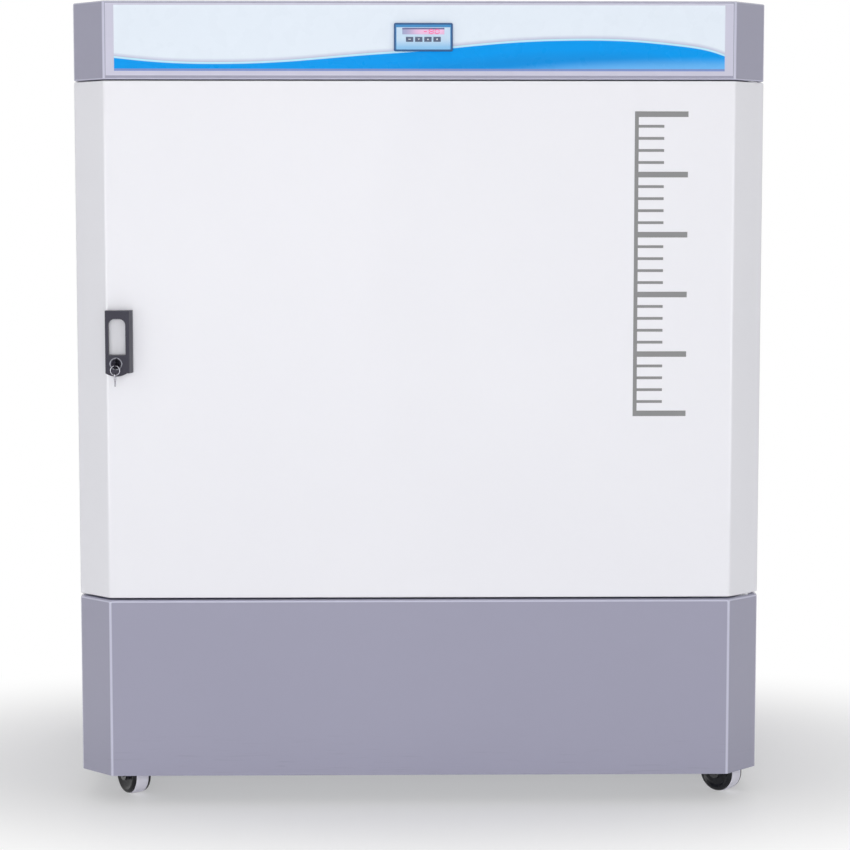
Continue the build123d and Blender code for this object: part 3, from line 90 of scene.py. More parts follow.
def add_node(
    tree: Tree,
    kind: str,
    settings: Optional[Mapping[Any, Any]] = None,
    links: Optional[Mapping[Any, Socket]] = None,
) -> Node:
    """Adds one node with its settings and links.

    Args:
        tree: the tree that takes the node.
        kind: the node's type name.
        settings: values by socket name, socket number or property name.
        links: sources by the name or number of the socket they feed.

    Returns:
        The new node.
    """
    made = tree.nodes.new(kind)
    for name, value in (settings or {}).items():
        if isinstance(name, int) or name in made.inputs:
            made.inputs[name].default_value = value
        else:
            setattr(made, name, value)
    for name, source in (links or {}).items():
        tree.links.new(source, made.inputs[name])
    return made


def shown_rays(tree: Tree) -> Socket:
    """Tells the rays that show the room itself: seen, mirrored or through glass.

    Args:
        tree: the tree of the world or of the floor.

    Returns:
        A socket that is 1 on those rays and 0 on the rays that light the object.
    """
    path = add_node(tree, "ShaderNodeLightPath")
    lit = path.outputs["Is Camera Ray"]
    for ray in ("Is Transmission Ray", "Is Glossy Ray"):
        links = {0: lit, 1: path.outputs[ray]}
        lit = add_node(tree, "ShaderNodeMath", {"operation": "MAXIMUM"}, links).outputs[0]
    return lit


class Axis(Enum):
    """Direction along which a metal was brushed or drawn."""

    X = 0
    Y = 1
    Z = 2


@dataclass(frozen=True)
class Finish:
    """A finish of one real material; each kind draws its own surface."""

    title: str
    colour: str
    roughness: float
    shade: str = "#808080"
    sheen_spread: float = 0.05
    depth_mm: float = 0.05
    bump: float = 0.3

    def draw(self, tree: Tree, place: Socket, skin: Node) -> None:
        """Draws the surface into the tree; each kind has its own way."""
        raise NotImplementedError

    def material(self) -> bpy.types.Material:
        """Makes the material once and gives the same one afterwards.

        Returns:
            The material with this finish's nodes.
        """
        known = bpy.data.materials.get(self.title)
        if known:
            return known
        made = bpy.data.materials.new(self.title)
        made.use_nodes = True
        tree = made.node_tree
        tree.nodes.clear()
        place = add_node(tree, "ShaderNodeTexCoord").outputs["Object"]
        look = {"Base Color": linear(self.colour), "Roughness": self.roughness}
        skin = add_node(tree, "ShaderNodeBsdfPrincipled", look)
        add_node(tree, "ShaderNodeOutputMaterial", links={"Surface": skin.outputs[0]})
        self.draw(tree, place, skin)
        return made

    def cover(self, tree: Tree, skin: Node, factor: Socket, other: str) -> None:
        """Lays another colour over what the base colour holds so far.

        Args:
            tree: the material's tree.
            skin: its shader.
            factor: how much of the other colour shows.
            other: the other colour.
        """
        base = skin.inputs["Base Color"]
        under = base.links[0].from_socket if base.is_linked else None
        settings = {"data_type": "RGBA", 7: linear(other)}
        mix = add_node(tree, "ShaderNodeMix", settings, {0: factor})
        if under:
            tree.links.new(under, mix.inputs[6])
        else:
            mix.inputs[6].default_value = linear(self.colour)
        tree.links.new(mix.outputs[2], base)

    def uneven(self, tree: Tree, skin: Node, source: Socket) -> None:
        """Lets the roughness wander about its own value.

        Args:
            tree: the material's tree.
            skin: its shader.
            source: a pattern from 0 to 1.
        """
        limits = {
            "From Min": 0.3,
            "From Max": 0.7,
            "To Min": max(LEAST_ROUGHNESS, self.roughness - self.sheen_spread),
            "To Max": self.roughness + self.sheen_spread,
        }
        wander = add_node(tree, "ShaderNodeMapRange", limits, {"Value": source})
        tree.links.new(wander.outputs[0], skin.inputs["Roughness"])

    def relief(self, tree: Tree, skin: Node, source: Socket) -> None:
        """Raises a pattern as bump.

        Args:
            tree: the material's tree.
            skin: its shader.
            source: the pattern's height from 0 to 1.
        """
        settings = {"Strength": self.bump, "Distance": self.depth_mm * MM}
        bump = add_node(tree, "ShaderNodeBump", settings, {"Height": source})
        tree.links.new(bump.outputs[0], skin.inputs["Normal"])


@dataclass(frozen=True)
class PowderCoat(Finish):
    """Polyester powder coat, sprayed and baked on sheet steel."""

    shade: str = "#E6E6EC"
    bump: float = 0.35
    peel_mm: float = 7.0
    cloud_mm: float = 420.0
    gloss: float = 0.3
    flow_coat: float = 1.0
    flow_coat_ior: float = 1.65
    flow_coat_roughness: float = 0.16
    scuff: str = ""
    scuff_long_mm: float = 70.0
    scuff_fine_mm: float = 3.5
    scuff_top_mm: float = 150.0
    scuff_full_mm: float = 50.0
    painted_bend_highlight: str = ""
    painted_bend_highlight_share: float = 0.8

    def draw(self, tree: Tree, place: Socket, skin: Node) -> None:
        """Draws a satin skin with soft orange peel and a faint cloud in its colour."""
        # Real peel is 1 to 2 mm across; it is drawn coarser so that it shows at this distance.
        peel = add_node(
            tree,
            "ShaderNodeTexNoise",
            {"Scale": per_mm(self.peel_mm), "Detail": 2.0, "Roughness": 0.4},
            {"Vector": place},
        )
        cloud = add_node(
            tree,
            "ShaderNodeTexNoise",
            {"Scale": per_mm(self.cloud_mm), "Detail": 1.5, "Roughness": 0.5},
            {"Vector": place},
        )
        skin.inputs["Specular IOR Level"].default_value = self.gloss
        skin.inputs["Coat Weight"].default_value = self.flow_coat
        skin.inputs["Coat IOR"].default_value = self.flow_coat_ior
        skin.inputs["Coat Roughness"].default_value = self.flow_coat_roughness
        self.cover(tree, skin, cloud.outputs[0], self.shade)
        self.uneven(tree, skin, peel.outputs[0])
        self.relief(tree, skin, peel.outputs[0])
        if self.scuff:
            self.scuffs(tree, place, skin)
        # Where a bend colour is given, a painted highlight over bends and rims.
        if self.painted_bend_highlight:
            self.bends(tree, skin)

    def bends(self, tree: Tree, skin: Node) -> None:
        """Paints a highlight into the coat's colour over bends and rims, where they catch the
        light.

        Args:
            tree: the material's tree.
            skin: its shader.
        """
        facing = add_node(tree, "ShaderNodeTexCoord").outputs["Normal"]
        sizes = add_node(tree, "ShaderNodeVectorMath", {"operation": "ABSOLUTE"}, {0: facing})
        split = add_node(tree, "ShaderNodeSeparateXYZ", links={0: sizes.outputs[0]})
        cut_corner = (math.sqrt(0.5), math.sqrt(0.5), 0.0)
        flat = add_node(
            tree,
            "ShaderNodeVectorMath",
            {"operation": "DOT_PRODUCT", 1: cut_corner},
            {0: sizes.outputs[0]},
        ).outputs["Value"]
        for part in split.outputs:
            links = {0: flat, 1: part}
            flat = add_node(tree, "ShaderNodeMath", {"operation": "MAXIMUM"}, links).outputs[0]
        # Painted highlight from about 4 degrees off the panel. On a square edge only the start
        # of the curve takes it, so the painted line is fine and sits low.
        limits = {"From Min": 0.998, "From Max": 0.985, "To Max": self.painted_bend_highlight_share}
        bent = add_node(tree, "ShaderNodeMapRange", limits, {"Value": flat})
        limits = {"From Min": 0.76, "From Max": 0.84}
        start = add_node(tree, "ShaderNodeMapRange", limits, {"Value": flat})
        links = {0: bent.outputs[0], 1: start.outputs[0]}
        share = add_node(tree, "ShaderNodeMath", {"operation": "MULTIPLY"}, links)
        self.cover(tree, skin, share.outputs[0], self.painted_bend_highlight)

    def scuffs(self, tree: Tree, place: Socket, skin: Node) -> None:
        """Lays thin level shoe and mop marks over the colour, only near the floor.

        Args:
            tree: the material's tree.
            place: the object's coordinates.
            skin: its shader.
        """
        along, across = per_mm(self.scuff_long_mm), per_mm(self.scuff_fine_mm)
        level = add_node(
            tree, "ShaderNodeMapping", {"Scale": (along, along, across)}, {"Vector": place}
        )
        marks = add_node(
            tree, "ShaderNodeTexNoise", {"Scale": 1.0, "Detail": 4.0}, {"Vector": level.outputs[0]}
        )
        limits = {"From Min": 0.6, "From Max": 0.75, "To Max": 0.35}
        shown = add_node(tree, "ShaderNodeMapRange", limits, {"Value": marks.outputs[0]})
        height = add_node(tree, "ShaderNodeSeparateXYZ", links={0: place})
        limits = {"From Min": self.scuff_top_mm * MM, "From Max": self.scuff_full_mm * MM}
        low = add_node(tree, "ShaderNodeMapRange", limits, {"Value": height.outputs[2]})
        links = {0: shown.outputs[0], 1: low.outputs[0]}
        share = add_node(tree, "ShaderNodeMath", {"operation": "MULTIPLY"}, links)
        self.cover(tree, skin, share.outputs[0], self.scuff)


@dataclass(frozen=True)
class MouldedPlastic(Finish):
    """ABS or nylon moulded against a spark-eroded tool."""

    shade: str = "#202028"
    sheen_spread: float = 0.06
    depth_mm: float = 0.04
    bump: float = 0.4
    grain_mm: float = 1.2
    flow_mm: float = 60.0
    gloss: float = 0.5

    def draw(self, tree: Tree, place: Socket, skin: Node) -> None:
        """Draws a fine leathery grain with slow flow marks that change its sheen."""
        # Real tool grain is under 0.5 mm; it is drawn coarser so that it shows.
        grain = add_node(
            tree,
            "ShaderNodeTexVoronoi",
            {"Scale": per_mm(self.grain_mm), "Randomness": 1.0},
            {"Vector": place},
        )
        flow = add_node(
            tree,
            "ShaderNodeTexNoise",
            {"Scale": per_mm(self.flow_mm), "Detail": 3.0, "Distortion": 0.6},
            {"Vector": place},
        )
        skin.inputs["Specular IOR Level"].default_value = self.gloss
        self.cover(tree, skin, flow.outputs[0], self.shade)
        self.uneven(tree, skin, flow.outputs[0])
        self.relief(tree, skin, grain.outputs[0])


@dataclass(frozen=True)
class BrushedMetal(Finish):
    """Stainless or aluminium sheet, brushed or drawn one way."""

    shade: str = "#9A9BA0"
    sheen_spread: float = 0.1
    depth_mm: float = 0.01
    grain: Axis = Axis.X
    stroke_mm: float = 90.0
    line_mm: float = 1.4

    def draw(self, tree: Tree, place: Socket, skin: Node) -> None:
        """Draws long fine strokes that spread the highlight across them."""
        # Real brush lines are about 0.2 mm apart; they are drawn wider so that they show.
        scale = [per_mm(self.line_mm)] * 3
        scale[self.grain.value] = per_mm(self.stroke_mm)
        turned = add_node(tree, "ShaderNodeMapping", {"Scale": scale}, {"Vector": place})
        strokes = add_node(
            tree,
            "ShaderNodeTexNoise",
            {"Scale": 1.0, "Detail": 3.0, "Roughness": 0.6},
            {"Vector": turned.outputs[0]},
        )
        skin.inputs["Metallic"].default_value = 1.0
        skin.inputs["Anisotropic"].default_value = 0.5
        self.cover(tree, skin, strokes.outputs[0], self.shade)
        self.uneven(tree, skin, strokes.outputs[0])
        self.relief(tree, skin, strokes.outputs[0])


@dataclass(frozen=True)
class ZincPlate(Finish):
    """Hot-dip galvanised or zinc-plated steel with its frozen crystals."""

    shade: str = "#8E9299"
    sheen_spread: float = 0.08
    depth_mm: float = 0.02
    bump: float = 0.2
    spangle_mm: float = 14.0

    def draw(self, tree: Tree, place: Socket, skin: Node) -> None:
        """Draws crystal patches, each a little lighter or duller than the next."""
        spangle = add_node(
            tree,
            "ShaderNodeTexVoronoi",
            {"Scale": per_mm(self.spangle_mm), "Randomness": 1.0},
            {"Vector": place},
        )
        cell = add_node(tree, "ShaderNodeSeparateColor", links={0: spangle.outputs["Color"]})
        skin.inputs["Metallic"].default_value = 1.0
        self.cover(tree, skin, cell.outputs[0], self.shade)
        self.uneven(tree, skin, cell.outputs[1])
        self.relief(tree, skin, spangle.outputs[0])


@dataclass(frozen=True)
class PlatedMetal(Finish):
    """Polished metal, bare or chromed, with handling smears."""

    shade: str = "#C9CBD2"
    smear_mm: float = 9.0

    def draw(self, tree: Tree, place: Socket, skin: Node) -> None:
        """Draws a near mirror whose gloss drops softly where fingers have been."""
        smear = add_node(
            tree,
            "ShaderNodeTexNoise",
            {"Scale": per_mm(self.smear_mm), "Detail": 4.0, "Distortion": 0.8},
            {"Vector": place},
        )
        skin.inputs["Metallic"].default_value = 1.0
        self.cover(tree, skin, smear.outputs[0], self.shade)
        self.uneven(tree, skin, smear.outputs[0])


@dataclass(frozen=True)
class FoamedCore(Finish):
    """Rigid polyurethane foam, cream and finely cellular."""

    shade: str = "#D9C68E"
    depth_mm: float = 0.6
    bump: float = 0.6
    cell_mm: float = 3.0
    rise_mm: float = 80.0

    def draw(self, tree: Tree, place: Socket, skin: Node) -> None:
        """Draws open cells, with deeper colour where the foam rose slowly."""
        # Real cells are under 1 mm; they are drawn larger so that they show.
        cells = add_node(
            tree, "ShaderNodeTexVoronoi", {"Scale": per_mm(self.cell_mm)}, {"Vector": place}
        )
        settings = {"Scale": per_mm(self.rise_mm), "Detail": 4.0}
        rise = add_node(tree, "ShaderNodeTexNoise", settings, {"Vector": place})
        self.cover(tree, skin, rise.outputs[0], self.shade)
        self.relief(tree, skin, cells.outputs[0])


@dataclass(frozen=True)
class Rubber(Finish):
    """Vulcanised or thermoplastic rubber with a dusty bloom."""

    shade: str = "#2A2A2C"
    sheen_spread: float = 0.08
    depth_mm: float = 0.08
    bump: float = 0.4
    bloom_mm: float = 25.0
    pore_mm: float = 1.5

    def draw(self, tree: Tree, place: Socket, skin: Node) -> None:
        """Draws a dull skin, slightly paler where bloom and scuffs lie."""
        # Real pores are under 0.5 mm; they are drawn larger so that they show.
        bloom = add_node(
            tree,
            "ShaderNodeTexNoise",
            {"Scale": per_mm(self.bloom_mm), "Detail": 6.0, "Roughness": 0.65},
            {"Vector": place},
        )
        settings = {"Scale": per_mm(self.pore_mm), "Detail": 2.0}
        pores = add_node(tree, "ShaderNodeTexNoise", settings, {"Vector": place})
        self.cover(tree, skin, bloom.outputs[0], self.shade)
        self.uneven(tree, skin, bloom.outputs[0])
        self.relief(tree, skin, pores.outputs[0])


@dataclass(frozen=True)
class PrintedFront(Finish):
    """A finish whose pattern is set out between the corners of its piece."""

    low: Point = (0.0, 0.0, 0.0)
    high: Point = (1.0, 1.0, 1.0)
    ripple_mm: float = 35.0

    def ripple(self, tree: Tree, place: Socket, skin: Node) -> None:
        """Gives the front its faint unevenness.

        Args:
            tree: the material's tree.
            place: the object's coordinates.
            skin: its shader.
        """
        settings = {"Scale": per_mm(self.ripple_mm), "Detail": 2.0}
        pattern = add_node(tree, "ShaderNodeTexNoise", settings, {"Vector": place})
        self.uneven(tree, skin, pattern.outputs[0])
        self.relief(tree, skin, pattern.outputs[0])


@dataclass(frozen=True)
class WavePrint(PrintedFront):
    """Polyester film, printed on its back with a plain two-tone wave."""

    sheen_spread: float = 0.04
    bump: float = 0.15
    gloss: float = 0.15
    wave_light: str = "#6FBDFA"
    border: str = "#8398D2"
    border_share: float = 0.035
    reach: float = 0.3
    film_from: float = 0.62
    inks: tuple[tuple[float, str], ...] = (
        (0.0, "#1094E6"),
        (0.25, "#009FF5"),
        (0.47, "#009FF5"),
        (0.485, "#C9F1FF"),
        (0.515, "#C9F1FF"),
        (0.53, "#C6CBE2"),
    )
    crest: Pairs = ((0.0, 0.21), (0.16, 0.12), (0.45, 0.28), (0.77, 0.48), (0.92, 0.4), (1.0, 0.24))
    swell: Pairs = ((0.0, 0.0), (0.55, 0.0), (0.8, 0.16), (1.0, 0.2))

    def draw(self, tree: Tree, place: Socket, skin: Node) -> None:
        """Draws the wave by its height above a smooth crest line, under clear gloss."""
        axes = add_node(tree, "ShaderNodeSeparateXYZ", links={0: place})
        along, up = (
            add_node(
                tree,
                "ShaderNodeMapRange",
                {"From Min": self.low[axis], "From Max": self.high[axis]},
                {"Value": axes.outputs[axis]},
            ).outputs[0]
            for axis in (0, 2)
        )
        above_crest = self.height_over(tree, self.crest, along, up)
        above_swell = self.height_over(tree, self.swell, along, up)
        limits = {"From Min": -self.reach, "From Max": self.reach}
        spread = add_node(tree, "ShaderNodeMapRange", limits, {"Value": above_crest})
        ramp = add_node(tree, "ShaderNodeValToRGB", links={0: spread.outputs[0]})
        inks = self.inks + ((self.film_from, self.colour),)
        stops = ramp.color_ramp.elements
        for stop, (position, code) in zip((stops[0], stops[1]), (inks[0], inks[-1])):
            stop.position = position
            stop.color = linear(code)
        for position, code in inks[1:-1]:
            stops.new(position).color = linear(code)
        tree.links.new(ramp.outputs[0], skin.inputs["Base Color"])
        limits = {"interpolation_type": "SMOOTHSTEP", "From Min": 0.04, "From Max": -0.16}
        shallow = add_node(tree, "ShaderNodeMapRange", limits, {"Value": above_swell})
        self.cover(tree, skin, shallow.outputs[0], self.wave_light)
        settings = {"operation": "LESS_THAN", 1: self.border_share}
        edge = add_node(tree, "ShaderNodeMath", settings, {0: up})
        self.cover(tree, skin, edge.outputs[0], self.border)
        skin.inputs["Specular IOR Level"].default_value = self.gloss
        self.ripple(tree, place, skin)

    def height_over(self, tree: Tree, points: Pairs, along: Socket, up: Socket) -> Socket:
        """Measures how far a point lies above a smooth line.

        Args:
            tree: the material's tree.
            points: the line's points, as shares of the film's width and height.
            along: the point's place along the film.
            up: its place up the film.

        Returns:
            The height over the line, as a share of the film's height.
        """
        line = add_node(tree, "ShaderNodeFloatCurve", links={"Value": along})
        bend = line.mapping.curves[0]
        bend.points[0].location = points[0]
        bend.points[1].location = points[-1]
        for point in points[1:-1]:
            bend.points.new(*point)
        line.mapping.update()
        links = {0: up, 1: line.outputs[0]}
        return add_node(tree, "ShaderNodeMath", {"operation": "SUBTRACT"}, links).outputs[0]


@dataclass(frozen=True)
class FramedFace(PrintedFront):
    """Moulded controller front: thin dark rim round a pale blue film."""

    depth_mm: float = 0.03
    ripple_mm: float = 1.5
    film: str = "#CDE4F9"
    film_low: str = "#8CC6F0"
    band: str = "#3D8CC8"
    rim_mm: float = 3.2
    side_mm: float = 1.4
    band_mm: float = 4.6
    front_mm: float = 0.5
    fall_from_mm: float = 26.0
    fall_to_mm: float = 3.0

    def inside(self, tree: Tree, axes: Node, sides: float, top: float, bottom: float) -> Socket:
        """Tests whether a point lies on the front within margins.

        Args:
            tree: the material's tree.
            axes: the node that separates the coordinates.
            sides: the margin at both sides in millimetres.
            top: the margin at the top.
            bottom: the margin at the bottom.

        Returns:
            A socket that is 1 inside and 0 outside.
        """
        tests = (
            ("GREATER_THAN", 0, self.low[0] + sides * MM),
            ("LESS_THAN", 0, self.high[0] - sides * MM),
            ("GREATER_THAN", 2, self.low[2] + bottom * MM),
            ("LESS_THAN", 2, self.high[2] - top * MM),
            ("LESS_THAN", 1, self.low[1] + self.front_mm * MM),
        )
        whole: Optional[Socket] = None
        for operation, axis, limit in tests:
            settings = {"operation": operation, 1: limit}
            test = add_node(tree, "ShaderNodeMath", settings, {0: axes.outputs[axis]}).outputs[0]
            whole = self.both(tree, whole, test) if whole else test
        return whole

    def both(self, tree: Tree, first: Socket, second: Socket) -> Socket:
        """Gives 1 where two tests both hold."""
        links = {0: first, 1: second}
        return add_node(tree, "ShaderNodeMath", {"operation": "MULTIPLY"}, links).outputs[0]

    def draw(self, tree: Tree, place: Socket, skin: Node) -> None:
        """Draws the rim, the mid-blue band inside it, and the film that deepens downwards."""
        axes = add_node(tree, "ShaderNodeSeparateXYZ", links={0: place})
        rim, side = self.rim_mm, self.rim_mm + self.side_mm
        face = self.inside(tree, axes, rim, rim, rim)
        film = self.inside(tree, axes, side, rim + self.band_mm, rim)
        limits = {
            "interpolation_type": "SMOOTHSTEP",
            "From Min": self.high[2] - self.fall_from_mm * MM,
            "From Max": self.low[2] + self.fall_to_mm * MM,
        }
        fall = add_node(tree, "ShaderNodeMapRange", limits, {"Value": axes.outputs[2]})
        self.cover(tree, skin, face, self.band)
        self.cover(tree, skin, film, self.film)
        self.cover(tree, skin, self.both(tree, film, fall.outputs[0]), self.film_low)
        self.ripple(tree, place, skin)


@dataclass(frozen=True)
class TintedWindow(PrintedFront):
    """Cast acrylic window, tinted rose, with a painted glow of the lit figures behind it."""

    sheen_spread: float = 0.03
    depth_mm: float = 0.02
    bump: float = 0.2
    ripple_mm: float = 9.0
    painted_glow: str = "#F2C3E6"
    shadow: str = "#6C6A97"
    shadow_from_mm: float = 3.4
    shadow_full_mm: float = 2.0

    def draw(self, tree: Tree, place: Socket, skin: Node) -> None:
        """Draws the window darker at the left, turning to a rose painted glow, under a painted
        shadow line where the rim shades it.
        """
        axes = add_node(tree, "ShaderNodeSeparateXYZ", links={0: place})
        middle = (self.low[0] + self.high[0]) / 2
        limits = {
            "interpolation_type": "SMOOTHSTEP",
            "From Min": self.low[0],
            "From Max": middle,
        }
        along = add_node(tree, "ShaderNodeMapRange", limits, {"Value": axes.outputs[0]})
        # The rose towards the right is a painted glow of the lit figures behind the window.
        self.cover(tree, skin, along.outputs[0], self.painted_glow)
        limits = {
            "From Min": self.high[2] - self.shadow_from_mm * MM,
            "From Max": self.high[2] - self.shadow_full_mm * MM,
        }
        shade = add_node(tree, "ShaderNodeMapRange", limits, {"Value": axes.outputs[2]})
        self.cover(tree, skin, shade.outputs[0], self.shadow)
        self.ripple(tree, place, skin)


@dataclass(frozen=True)
class CircuitBoard(Finish):
    """Glass-epoxy laminate under green lacquer, with copper runs beneath it."""

    shade: str = "#2F7A4A"
    depth_mm: float = 0.035
    bump: float = 0.5
    track_mm: float = 4.0
    track_share: float = 0.62

    def draw(self, tree: Tree, place: Socket, skin: Node) -> None:
        """Draws square paths of slightly paler green where the copper lies."""
        tracks = add_node(
            tree,
            "ShaderNodeTexVoronoi",
            {"Scale": per_mm(self.track_mm), "distance": "CHEBYCHEV", "feature": "F2"},
            {"Vector": place},
        )
        settings = {"operation": "GREATER_THAN", 1: self.track_share}
        line = add_node(tree, "ShaderNodeMath", settings, {0: tracks.outputs[0]})
        self.cover(tree, skin, line.outputs[0], self.shade)
        self.relief(tree, skin, line.outputs[0])


@dataclass(frozen=True)
class LitSegment(Finish):
    """Light-emitting bars behind a tinted window."""

    shade: str = "#D8508C"
    glow: float = 2.2
    patch_mm: float = 6.0

    def draw(self, tree: Tree, place: Socket, skin: Node) -> None:
        """Draws an even glow over a colour that is a little paler in patches."""
        skin.inputs["Emission Color"].default_value = linear(self.colour)
        skin.inputs["Emission Strength"].default_value = self.glow
        settings = {"Scale": per_mm(self.patch_mm), "Detail": 1.0}
        patch = add_node(tree, "ShaderNodeTexNoise", settings, {"Vector": place})
        self.cover(tree, skin, patch.outputs[0], self.shade)


# Powder coat gives a soft satin: an even colour, slow orange peel and a clear sheen along bends;
# on the grey coat that sheen is partly a painted highlight.
WHITE_COAT = PowderCoat(
    "white_polyester_powder_coat", "#F4F4F9", 0.42, shade="#F0F0F6", flow_coat=0.5
)
# The grey coat's pale lilac over bends and rims is a painted highlight.
GREY_COAT = PowderCoat(
    "grey_polyester_powder_coat",
    "#9C9BB1",
    0.4,
    shade="#9796AC",
    scuff="#807F8C",
    painted_bend_highlight="#CFCFE4",
)
# Stoved enamel on pressed shells is glossier than powder, with a tighter peel.
BLACK_ENAMEL = PowderCoat("black_stoved_enamel", "#17171A", 0.3, shade="#1F1F23", peel_mm=4.0)
# Brushing draws the highlight out across the strokes of stainless and rolled aluminium.
STAINLESS = BrushedMetal("brushed_stainless_sheet", "#C3C4C8", 0.32, shade="#B2B3B8")
STAINLESS_UPRIGHT = BrushedMetal(
    "brushed_stainless_strip", "#C6C7CB", 0.3, shade="#B4B5BA", grain=Axis.Z
)
FIN_STOCK = BrushedMetal(
    "rolled_aluminium_fin_stock", "#C9CBCF", 0.38, shade="#B5B8BD", grain=Axis.Z, stroke_mm=40.0
)
# Hot-dip zinc freezes in crystals that each catch the light their own way.
GALVANISED = ZincPlate("galvanised_steel_sheet", "#B4B8BF", 0.42, shade="#A0A4AC")
BRIGHT_ZINC = ZincPlate("bright_zinc_plate", "#C0C3C9", 0.28, shade="#AEB2BA", spangle_mm=5.0)
# Plated and drawn metals are near mirrors, dulled only by handling.
CHROME = PlatedMetal("polished_chrome_plate", "#8F9098", 0.12, shade="#85868E")
NICKEL = PlatedMetal("nickel_plated_brass_key", "#B7B6BE", 0.22, shade="#A8A7AF")
COPPER = PlatedMetal("drawn_copper_tube", "#C77B58", 0.3, shade="#A9603F", smear_mm=22.0)
CAST_ALUMINIUM = PlatedMetal("pressed_aluminium", "#BFC1C6", 0.4, shade="#A9ACB2", smear_mm=30.0)
PLUG_BLACK = PlatedMetal("black_nickel_lock_face", "#2E2D36", 0.24, shade="#25242C", smear_mm=5.0)
# Foam shows cut cells and the deeper cream of its slow rise.
FOAM = FoamedCore("rigid_polyurethane_foam", "#E6D8A8", 0.85)
# Spark-eroded tools leave a fine leathery grain that breaks up the plastic's sheen.
BLACK_ABS = MouldedPlastic("moulded_black_abs", "#33323C", 0.42, shade="#3C3B46")
HANDLE_ABS = MouldedPlastic("moulded_black_nylon_grip", "#35343F", 0.38, shade="#3E3D49", gloss=0.3)
# The bezel is a pale moulding, and its lilac is also a painted highlight: drawn lighter than the
# housing's coat for the light its face catches.
LILAC_ABS_PAINTED_HIGHLIGHT = MouldedPlastic("moulded_pale_abs_painted_highlight", "#D3D2E4", 0.4, shade="#CCCBDD", grain_mm=2.0)
BREAKER_PVC = MouldedPlastic("extruded_white_pvc", "#E4E4E8", 0.45, shade="#DADADF", grain_mm=3.0)
KEY_SILICONE = MouldedPlastic("moulded_grey_silicone_keys", "#5F6985", 0.6, shade="#556079")
HUB_ABS = MouldedPlastic("moulded_black_wheel_hub", "#141418", 0.2, shade="#1C1C22", gloss=0.3)
# Rubber and soft vinyl are dull, a little paler where bloom and scuffs lie.
SEAL = Rubber("soft_grey_pvc_seal", "#B9B9C0", 0.6, shade="#ABABB3")
BLACK_RUBBER = Rubber("vulcanised_black_rubber", "#242426", 0.75)
ELASTOMER = Rubber("black_elastomer_foam", "#2B2B2E", 0.85, shade="#343437", bloom_mm=12.0)
TREAD = Rubber("white_thermoplastic_tread", "#EFEDF8", 0.45, shade="#E2E0EC", bloom_mm=14.0)
# Lacquer over copper runs gives the board its two greens and a slight step at each run.
BOARD = CircuitBoard("green_circuit_board", "#1E5C34", 0.35)
# The lit bars glow rose through the window, weakly enough to keep their colour.
LED = LitSegment("rose_display_segment", "#C92F74", 0.4, glow=0.5)
# Screen-printed ink is a matt film that takes a little of the coat's grain.
SCALE_INK = MouldedPlastic("screen_printed_grey_ink", "#888888", 0.5, shade="#8E8E90", grain_mm=3.0)
LEGEND_INK = MouldedPlastic("screen_printed_white_ink", "#E8EAEE", 0.5, shade="#DEE0E5")


def finished(name: str, work: bmesh.types.BMesh) -> Mesh:
    """Turns worked faces outwards and makes them a mesh.

    Args:
        name: the mesh's name.
        work: the faces; they are freed afterwards.

    Returns:
        The mesh.
    """
    bmesh.ops.recalc_face_normals(work, faces=work.faces[:])
    mesh = bpy.data.meshes.new(name)
    work.to_mesh(mesh)
    work.free()
    return mesh


def join_rings(work: bmesh.types.BMesh, rings: Sequence[Sequence[Any]], open_at: set[int]) -> None:
    """Joins each ring of corners to the next, and the last to the first.

    Args:
        work: takes the faces.
        rings: the rings, all with as many corners.
        open_at: corners whose face to the next corner is left out.
    """
    count = len(rings[0])
    for index, here in enumerate(rings):
        after = rings[(index + 1) % len(rings)]
        for i in range(count):
            if i not in open_at:
                j = (i + 1) % count
                work.faces.new((here[i], after[i], after[j], here[j]))


def add_prism(work: bmesh.types.BMesh, outline: Pairs, near: float, far: float) -> None:
    """Adds a flat prism whose outline lies in X and Z.

    Args:
        work: takes the faces.
        outline: corners as (x, z) in metres, in order.
        near: Y of its front face.
        far: Y of its back face.
    """
    front, back = ([work.verts.new((x, y, z)) for x, z in outline] for y in (near, far))
    work.faces.new(front)
    work.faces.new(list(reversed(back)))
    for i in range(len(outline)):
        j = (i + 1) % len(outline)
        work.faces.new((front[j], front[i], back[i], back[j]))


def outline_prism(name: str, outline: Pairs, near: float, far: float) -> Mesh:
    """Makes one flat prism whose outline lies in X and Z.

    Args:
        name: the mesh's name.
        outline: corners as (x, z) in metres, in order.
        near: Y of its front face.
        far: Y of its back face.

    Returns:
        The closed mesh.
    """
    work = bmesh.new()
    add_prism(work, outline, near, far)
    return finished(name, work)


def spun_profile(name: str, profile: Pairs, centre: Vector, axle: Vector, steps: int) -> Mesh:
    """Spins a closed profile round an axle.

    Args:
        name: the mesh's name.
        profile: (radius, place along the axle) in metres, closed end to end.
        centre: a point on the axle.
        axle: its direction.
        steps: facets round the turn.

    Returns:
        The closed mesh, smooth round the turn.
    """
    work = bmesh.new()
    turn = axle.normalized().to_track_quat("Z", "Y").to_matrix().to_4x4()
    place = Matrix.Translation(centre) @ turn
    rings = []
    for step in range(steps):
        angle = 2 * math.pi * step / steps
        cosine, sine = math.cos(angle), math.sin(angle)
        rings.append(
            [work.verts.new(place @ Vector((r * cosine, r * sine, z))) for r, z in profile]
        )
    following = list(profile[1:]) + [profile[0]]
    on_axle = {
        i for i, (a, b) in enumerate(zip(profile, following)) if max(a[0], b[0]) < ON_AXLE_M
    }
    join_rings(work, rings, on_axle)
    bmesh.ops.remove_doubles(work, verts=work.verts[:], dist=WELD_M)
    bmesh.ops.dissolve_degenerate(work, edges=work.edges[:], dist=WELD_M)
    mesh = finished(name, work)
    mesh.shade_smooth()
    mesh.set_sharp_from_angle(angle=math.radians(CREASE_DEGREES))
    return mesh


